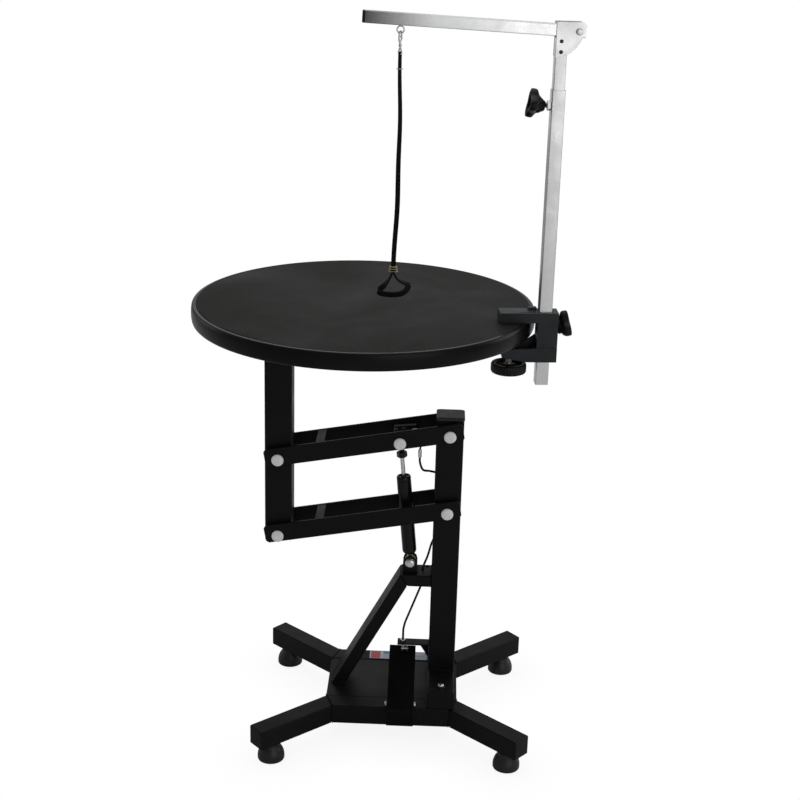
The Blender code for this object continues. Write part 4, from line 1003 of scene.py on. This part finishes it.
def build_clamp():
    """C-shaped casting: flat upper jaw, post socket, and a hollow lower jaw with a screw boss."""
    low, high = TABLE_TOP + GAP, TABLE_TOP + GAP + 0.0175
    tip, web_left, right, bottom = -0.080, -0.0131, 0.0223, 0.760
    lower_tip, web_top, side = -0.0727, 0.7850, 0.017
    screw_at = Matrix.Translation((CLAMP_SCREW.x, 0, 0))

    def plate(outline, half):
        return prism(outline, -half, half, "Y")

    def bar(radius, start, end, matrix, segments=40):
        return placed(turned(rod(radius, start, end), segments), matrix)

    body = plate([(web_left, bottom + 0.002), (right, bottom + 0.002), (right, high - 0.002),
                  (web_left, high - 0.002)], side - 0.0015)
    upper = plate([(tip + 0.004, low), (right, low), (right, high), (tip + 0.002, high),
                   (tip, high - 0.003), (tip, low + 0.004)], side)
    lower = plate([(lower_tip, 0.7680), (-0.0300, bottom), (right, bottom), (right, web_top),
                   (web_left, web_top), (lower_tip, 0.7810)], side)
    gusset = prism([(-0.0420, 0.7810), (-0.0100, 0.7810), (-0.0100, 0.8060), (web_left, 0.8020)],
                   side - 0.0045, side - 0.0008, "Y")
    rib = box((-0.0280, 0.0060, high - 0.003), (-0.0135, side - 0.001, high + 0.0040))
    boss = bar(0.0105, 0.0, 0.0030, along("X", (right - 0.0002, 0, CLAMP_KNOB_Z)))
    pocket = box((-0.0665, 0.0035 - side, 0.7720), (web_left - 0.0035, side - 0.0045, 0.7950))
    nut_boss = bar(0.0105, 0.7655, 0.7800, screw_at)
    slot = prism(rounded_rectangle(-0.0300, -0.0118, 0.0140, 0.0014, 0.0013), high - 0.0045, high + 0.01)
    under = box((-0.0680, 0.0040 - side, low - 0.01), (web_left - 0.010, side - 0.0040, low + 0.0020))
    half = POST_HALF + 0.00045
    socket = box((-half, -half, 0.70), (half, half, 0.95))
    screw_hole = bar(0.0054, 0.74, 0.80, screw_at)
    knob_hole = bar(0.0043, 0.0, 0.05, along("X", (0.006, 0, CLAMP_KNOB_Z)), 32)
    shape = carve(body, (upper, "UNION"), (lower, "UNION"), (gusset, "UNION"), (rib, "UNION"),
                  (boss, "UNION"), (pocket, "DIFFERENCE"), (nut_boss, "UNION"), (slot, "DIFFERENCE"),
                  (under, "DIFFERENCE"), (socket, "DIFFERENCE"), (screw_hole, "DIFFERENCE"),
                  (knob_hole, "DIFFERENCE"))
    make_piece("clamp_casting", in_arm(shape), "grey_cast_metal", "table_top", ("clamp_bracket",),
               bevel=0.0009, segments=3, crease=35)

    wheel_low, wheel_high = (corner.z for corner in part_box("clamp_wheel"))
    pad_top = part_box("clamp_screw")[1].z
    pitch = 0.00075
    count = int((pad_top - 0.0075 - wheel_high) / pitch)
    profile = (measured(wheel_high, (0, -1), (4.6, -1))
               + threaded(wheel_high, pitch, count, 0.0050, 0.0044)[1:-1]
               + measured(pad_top, (5, -7.2), (11.2, -5.2), (12.8, -3.4), (13, -0.8), (12.4, 0), (0, 0)))
    lathe("clamp_thread", profile, ARM @ screw_at, "zinc_plate", "clamp_pad_screw", ("clamp_screw",), 40,
          crease=35)

    def flutes(angle, radius):
        return radius - 0.0008 * (0.5 - 0.5 * math.cos(40 * angle)) if radius > 0.0300 else radius

    profile = (measured(wheel_low, (0, 3.5), (23, 3.5), (24.5, 0), (28, 0), (29.8, 0.8), (31, 2.8))
               + measured(wheel_high, (31, -2.8), (29.8, -0.8), (28, 0), (24.8, 0), (23.2, -1.2),
                          (22.6, -5), (12.5, -5.6), (10.8, -3), (9.8, -1.8), (0, -1.8)))
    lathe("fluted_wheel", profile, ARM @ screw_at, "black_plastic", "clamp_hand_wheel", ("clamp_wheel",),
          240, flutes)


KNOB_TURN = {-1: math.radians(150), 1: math.radians(165)}


def build_knob(name, node, side, height, body, start):
    """Three-lobed knob: rounded rim, dished face, round hub and a bright screw."""
    rim, hub = 0.0265, 0.0135

    def lobes(angle, radius):
        wave = (0.5 + 0.5 * math.cos(3 * angle)) ** 1.25
        return radius / rim * (0.0158 + 0.0107 * wave) if radius > hub else radius

    profile = measured(start, (0, -8.5), (7.2, -8.5), (8.4, -7), (10, -4), (13, 0.2), (17.5, 3.6),
                       (22, 5.8), (25, 7.2), (26.2, 9.2), (26.5, 12.5), (26.2, 16.5), (25, 18.4),
                       (22.5, 19), (18, 17.4), (13, 14.6), (8, 12.8), (0, 12.2))
    axis = "X" if side > 0 else "-X"
    tip = Matrix.Rotation(side * math.radians(-11), 4, "Y")
    seat = Matrix.Translation((side * start, 0, height))
    matrix = ARM @ seat @ tip @ seat.inverted() @ along(axis, (0, 0, height), KNOB_TURN[side])
    lathe(name, profile, matrix, "black_plastic", body, (node,), 120, lobes, 45)
    pitch, screw_start = 0.0008, POST_HALF + 0.0003
    count = int((start - 0.0085 - POST_HALF) / pitch)
    lathe(name + "_screw", threaded(screw_start, pitch, count, 0.0040, 0.0035),
          ARM @ along(axis, (0, 0, height)), "zinc_plate", body, segments=28)


def build_post_hardware():
    """Weld nut and knob of the post, knob of the clamp, and the rivets of the corner plates."""
    hex_nut("post_weld_nut", 0.0150, POST_HALF, POST_HALF + 0.0060, ARM @ along("-X", (0, 0, POST_KNOB_Z)),
            "zinc_plate", "post", 72)
    build_knob("post_star_knob", "post_knob", -1, POST_KNOB_Z, "post_lock_knob", 0.0290)
    build_knob("clamp_star_knob", "clamp_knob", 1, CLAMP_KNOB_Z, "clamp_post_knob", 0.0255)

    low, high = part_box("corner_plate_front")
    face = abs((ARM_BACK @ ((low + high) / 2)).y) + 0.0011
    rivets = []
    for axis in ("-Y", "Y"):
        for z in (1.3030, 1.2860):
            rivet = turned(dome_profile(0.0032, face, face + 0.0014), 28)
            rivets.append(placed(rivet, along(axis, (-0.0010, 0, z))))
    make_piece("corner_rivets", in_arm(join(*rivets)), "dark_steel", "telescope", crease=50)


def circle(centre, radius, count):
    """Points of an upright circle that faces along Y."""
    angles = [2 * math.pi * step / count for step in range(count)]
    return [centre + Vector((radius * math.cos(angle), 0, radius * math.sin(angle))) for angle in angles]


def build_tether():
    """The ring on the boom, the snap hook in it, and the webbing with its noose."""
    centre = TETHER

    def hung(name, bm, finish, body="tether", replaces=()):
        return make_piece(name, in_arm(bm), finish, body, replaces)

    ring_radius, ring_wire, hook_wire, bend = 0.0057, 0.0013, 0.0015, 0.0048
    hung("hanging_ring", wire(circle(centre, ring_radius, 40), ring_wire, 14, closed=True), "zinc_plate",
         "boom_arm", ("tether_ring",))

    # the hook's open bend passes through the ring; its plane is turned out of the ring's plane
    turn = Matrix.Translation(centre) @ Matrix.Rotation(math.radians(62), 4, "Z")
    bend_top = -ring_radius + ring_wire + hook_wire + 0.0002
    bend_middle, bend_low = bend_top - bend, bend_top - 2 * bend
    neck = [(0, bend_low - 0.0125), (-0.0008, bend_low - 0.0085), (-bend * 0.75, bend_low - 0.0050),
            (-bend - 0.0006, bend_middle - 0.0060)]
    angles = [math.radians(205 - 12.3 * step) for step in range(25)]
    curve = [(bend * math.cos(angle), bend_middle + bend * math.sin(angle)) for angle in angles]
    sizes = [0.0021, 0.0020, 0.0018, 0.0016] + [hook_wire] * (len(curve) - 2) + [0.0013, 0.0009]
    hung("hook_bend", placed(wire([(x, 0, z) for x, z in neck + curve], sizes, 14), turn), "zinc_plate",
         replaces=("snap_hook",))
    gate = [(0.0046, 0, bend_middle - 0.0022), (0.0050, 0, bend_middle - 0.0060),
            (0.0030, 0, bend_low - 0.0048), (0.0005, 0, bend_low - 0.0080)]
    hung("hook_gate", placed(wire(smooth_path(gate, 5), 0.0011), turn), "zinc_plate")
    thumb = wire([(0.0048, 0, bend_middle - 0.0045), (0.0078, 0, bend_middle - 0.0060)], [0.0013, 0.0009])
    hung("hook_thumb", placed(thumb, turn), "zinc_plate")

    swivel_top = bend_low - 0.0115
    profile = measured(swivel_top, (0, 0), (2.4, 0), (3.1, -0.8), (3.1, -2.6), (1.8, -3.2), (1.5, -5.2),
                       (2.6, -6), (2.9, -7.2), (2.2, -8.6), (0, -8.8))
    lathe("hook_swivel", profile, ARM @ Matrix.Translation(centre), "zinc_plate", "tether", segments=32,
          crease=50)
    eye_z = swivel_top - 0.0088 - 0.0032
    eye = circle(centre + Vector((0, 0, eye_z)), 0.0030, 32)
    hung("hook_eye", wire(eye, 0.0011, closed=True), "zinc_plate")

    noose_top = 0.9157
    strap_top = eye_z + 0.0010
    lean = -0.0025
    length = centre.z + strap_top - noose_top
    line, across, widths = [], [], []
    for step in range(41):
        share = step / 40
        bow = -0.0036 * math.sin(math.pi * share) + 0.0006 * math.sin(5 * math.pi * share)
        line.append(centre + Vector((lean * share - bow, 0.0004 * math.sin(7 * share),
                                     strap_top - length * share)))
        twist = math.radians(28 - 30 * share)
        across.append(Vector((math.cos(twist), math.sin(twist), 0)))
        widths.append(0.0056 + 0.0024 * min(1.0, 1.6 * share))

    def shortened(thing):
        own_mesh(thing)

    shortened(hung("strap_webbing", band(line, across, widths, 0.0024), "black_webbing",
                   replaces=("strap",)))

    foot = line[-1]
    noose = ((0, 0, -0.5), (-4, 1.5, -9.5), (-9.2, 3, -19.5), (-16.5, 3.5, -28.5), (-23.8, 2, -34.5),
             (-22.2, -2, -37.6), (-12, -5, -39.5), (2, -6, -40), (15, -5, -38), (23, -2, -32.5),
             (26.2, 2, -26.2), (20.5, 4, -22.2), (9.8, 3, -16.5), (3.8, 1, -8.5))
    path = smooth_path([foot + Vector(point) / 1000 for point in noose], 7, closed=True)
    tilt = []
    for index in range(len(path)):
        share = index / len(path)
        lean_in = 0.55 + 0.50 * math.cos(2 * math.pi * (share - 0.45))
        upright = Vector((0.35 * math.sin(2 * math.pi * share), -0.35, 1.0))
        tilt.append(Vector((0.0, 1.0, 0.0)).lerp(upright, max(0.15, min(0.95, lean_in))))
    shortened(hung("noose_webbing", band(path, tilt, [0.0096] * len(path), 0.0025, closed=True),
                   "black_webbing"))

    def loop_round(at, half_x, half_y, corner, steps, size):
        """A wire bent into a level rounded rectangle."""
        outline = rounded_rectangle(at.x, at.y, half_x, half_y, corner, steps)
        return wire([(x, y, at.z) for x, y in outline], size, 10, closed=True)

    keeper = [loop_round(foot + Vector((0, 0, rise)), half_x, 0.0036, 0.0034, 6, 0.0011)
              for rise, half_x in ((0.0075, 0.0058), (0.0035, 0.0066), (-0.0005, 0.0072))]
    shortened(hung("noose_slider", join(*keeper), "yellow_zinc"))
    shortened(hung("strap_fittings", loop_round(line[3], 0.0050, 0.0022, 0.0016, 5, 0.0008), "zinc_plate"))


# ---------------------------------------------------------------- stage, lights and camera
def build_stage():
    """A white floor that glows evenly for the camera, with a soft contact shadow painted into that glow."""
    bm = bmesh.new()
    bmesh.ops.create_grid(bm, x_segments=1, y_segments=1, size=30)
    mesh = new_mesh("floor", bm)
    floor = new_object("floor", mesh)
    floor.location.z = -0.0006
    finish = Finish("pale_floor", (0.80, 0.80, 0.80), 0.8)
    # painted contact shadow: ambient occlusion darkens the floor's glow near what stands on it
    shade = finish.add("AmbientOcclusion", {"samples": 8}, Distance=0.11).outputs["AO"]
    shadow, lit = (0.86, 0.86, 0.87), (1.0, 1.0, 1.0)
    glow = finish.add("Emission", Color=finish.mix(shade, shadow, lit), Strength=1.0)
    camera_ray = finish.add("LightPath").outputs["Is Camera Ray"]
    chooser = finish.add("MixShader")
    finish.tree.links.new(camera_ray, chooser.inputs[0])
    finish.tree.links.new(finish.shader.outputs[0], chooser.inputs[1])
    finish.tree.links.new(glow.outputs[0], chooser.inputs[2])
    output = next(node for node in finish.tree.nodes if node.type == "OUTPUT_MATERIAL")
    finish.tree.links.new(chooser.outputs[0], output.inputs["Surface"])
    mesh.materials.append(finish.material)


def build_world(ambient):
    """White behind the part, with a dimmer and slightly blue light falling on it."""
    world = bpy.data.worlds.new("studio")
    bpy.context.scene.world = world
    world.use_nodes = True
    tree = world.node_tree
    tree.nodes.clear()
    seen = tree.nodes.new("ShaderNodeBackground")
    seen.inputs["Color"].default_value = (1, 1, 1, 1)
    lit = tree.nodes.new("ShaderNodeBackground")
    lit.inputs["Color"].default_value = (*ambient, 1)
    ray = tree.nodes.new("ShaderNodeLightPath")
    chooser = tree.nodes.new("ShaderNodeMixShader")
    output = tree.nodes.new("ShaderNodeOutputWorld")
    tree.links.new(ray.outputs["Is Camera Ray"], chooser.inputs[0])
    tree.links.new(lit.outputs[0], chooser.inputs[1])
    tree.links.new(seen.outputs[0], chooser.inputs[2])
    tree.links.new(chooser.outputs[0], output.inputs["Surface"])


def soft_light(name, place, size, power, colour=(1, 1, 1)):
    """A rectangular lamp that points at the middle of the table."""
    lamp = bpy.data.lights.new(name, "AREA")
    lamp.shape = "RECTANGLE"
    lamp.size, lamp.size_y = size
    lamp.energy = power
    lamp.color = colour
    thing = new_object(name, lamp)
    thing.location = place
    thing.rotation_euler = (Vector((0, 0, 0.7)) - Vector(place)).to_track_quat("-Z", "Y").to_euler()


def build_lights():
    """Soft lamps above and around the table."""
    soft_light("ceiling", (0.3, 0.6, 3.4), (2.6, 2.6), 26, (1.0, 0.985, 0.96))
    soft_light("window_right", (3.0, 1.0, 1.6), (2.0, 2.4), 30, (0.94, 0.97, 1.0))
    soft_light("fill_front", (1.9, -3.2, 1.4), (2.6, 2.4), 24)
    soft_light("fill_left", (-3.2, 1.4, 1.4), (1.6, 2.0), 8)
    soft_light("fill_back", (-0.4, 3.4, 1.6), (2.4, 2.2), 7)


def build_camera():
    """The camera stands in front of the table and a little above its top."""
    data = bpy.data.cameras.new("camera")
    camera = new_object("camera", data)
    bpy.context.scene.camera = camera
    data.sensor_width = 36.0
    data.lens = 67.6
    yaw, pitch, roll = math.radians(-1.26), math.radians(19.46), math.radians(1.56)
    forward = Vector((math.sin(yaw) * math.cos(pitch), math.cos(yaw) * math.cos(pitch), -math.sin(pitch)))
    right = Vector((math.cos(yaw), -math.sin(yaw), 0))
    up = right.cross(forward)
    side = right * math.cos(roll) + up * math.sin(roll)
    top = up * math.cos(roll) - right * math.sin(roll)
    matrix = Matrix((side, top, -forward)).transposed().to_4x4()
    matrix.translation = (BASE_X + 0.0563, -2.5764, 1.5581)
    camera.matrix_world = matrix


finish_cad_nodes()
build_pivots()
build_gas_spring()
build_feet()
build_base_hardware()
build_welds()
build_arm_details()
build_table()
build_clamp()
build_post_hardware()
build_tether()
build_stage()
build_world((0.30, 0.305, 0.315))
build_lights()
build_camera()
bpy.context.scene.view_settings.view_transform = "Standard"
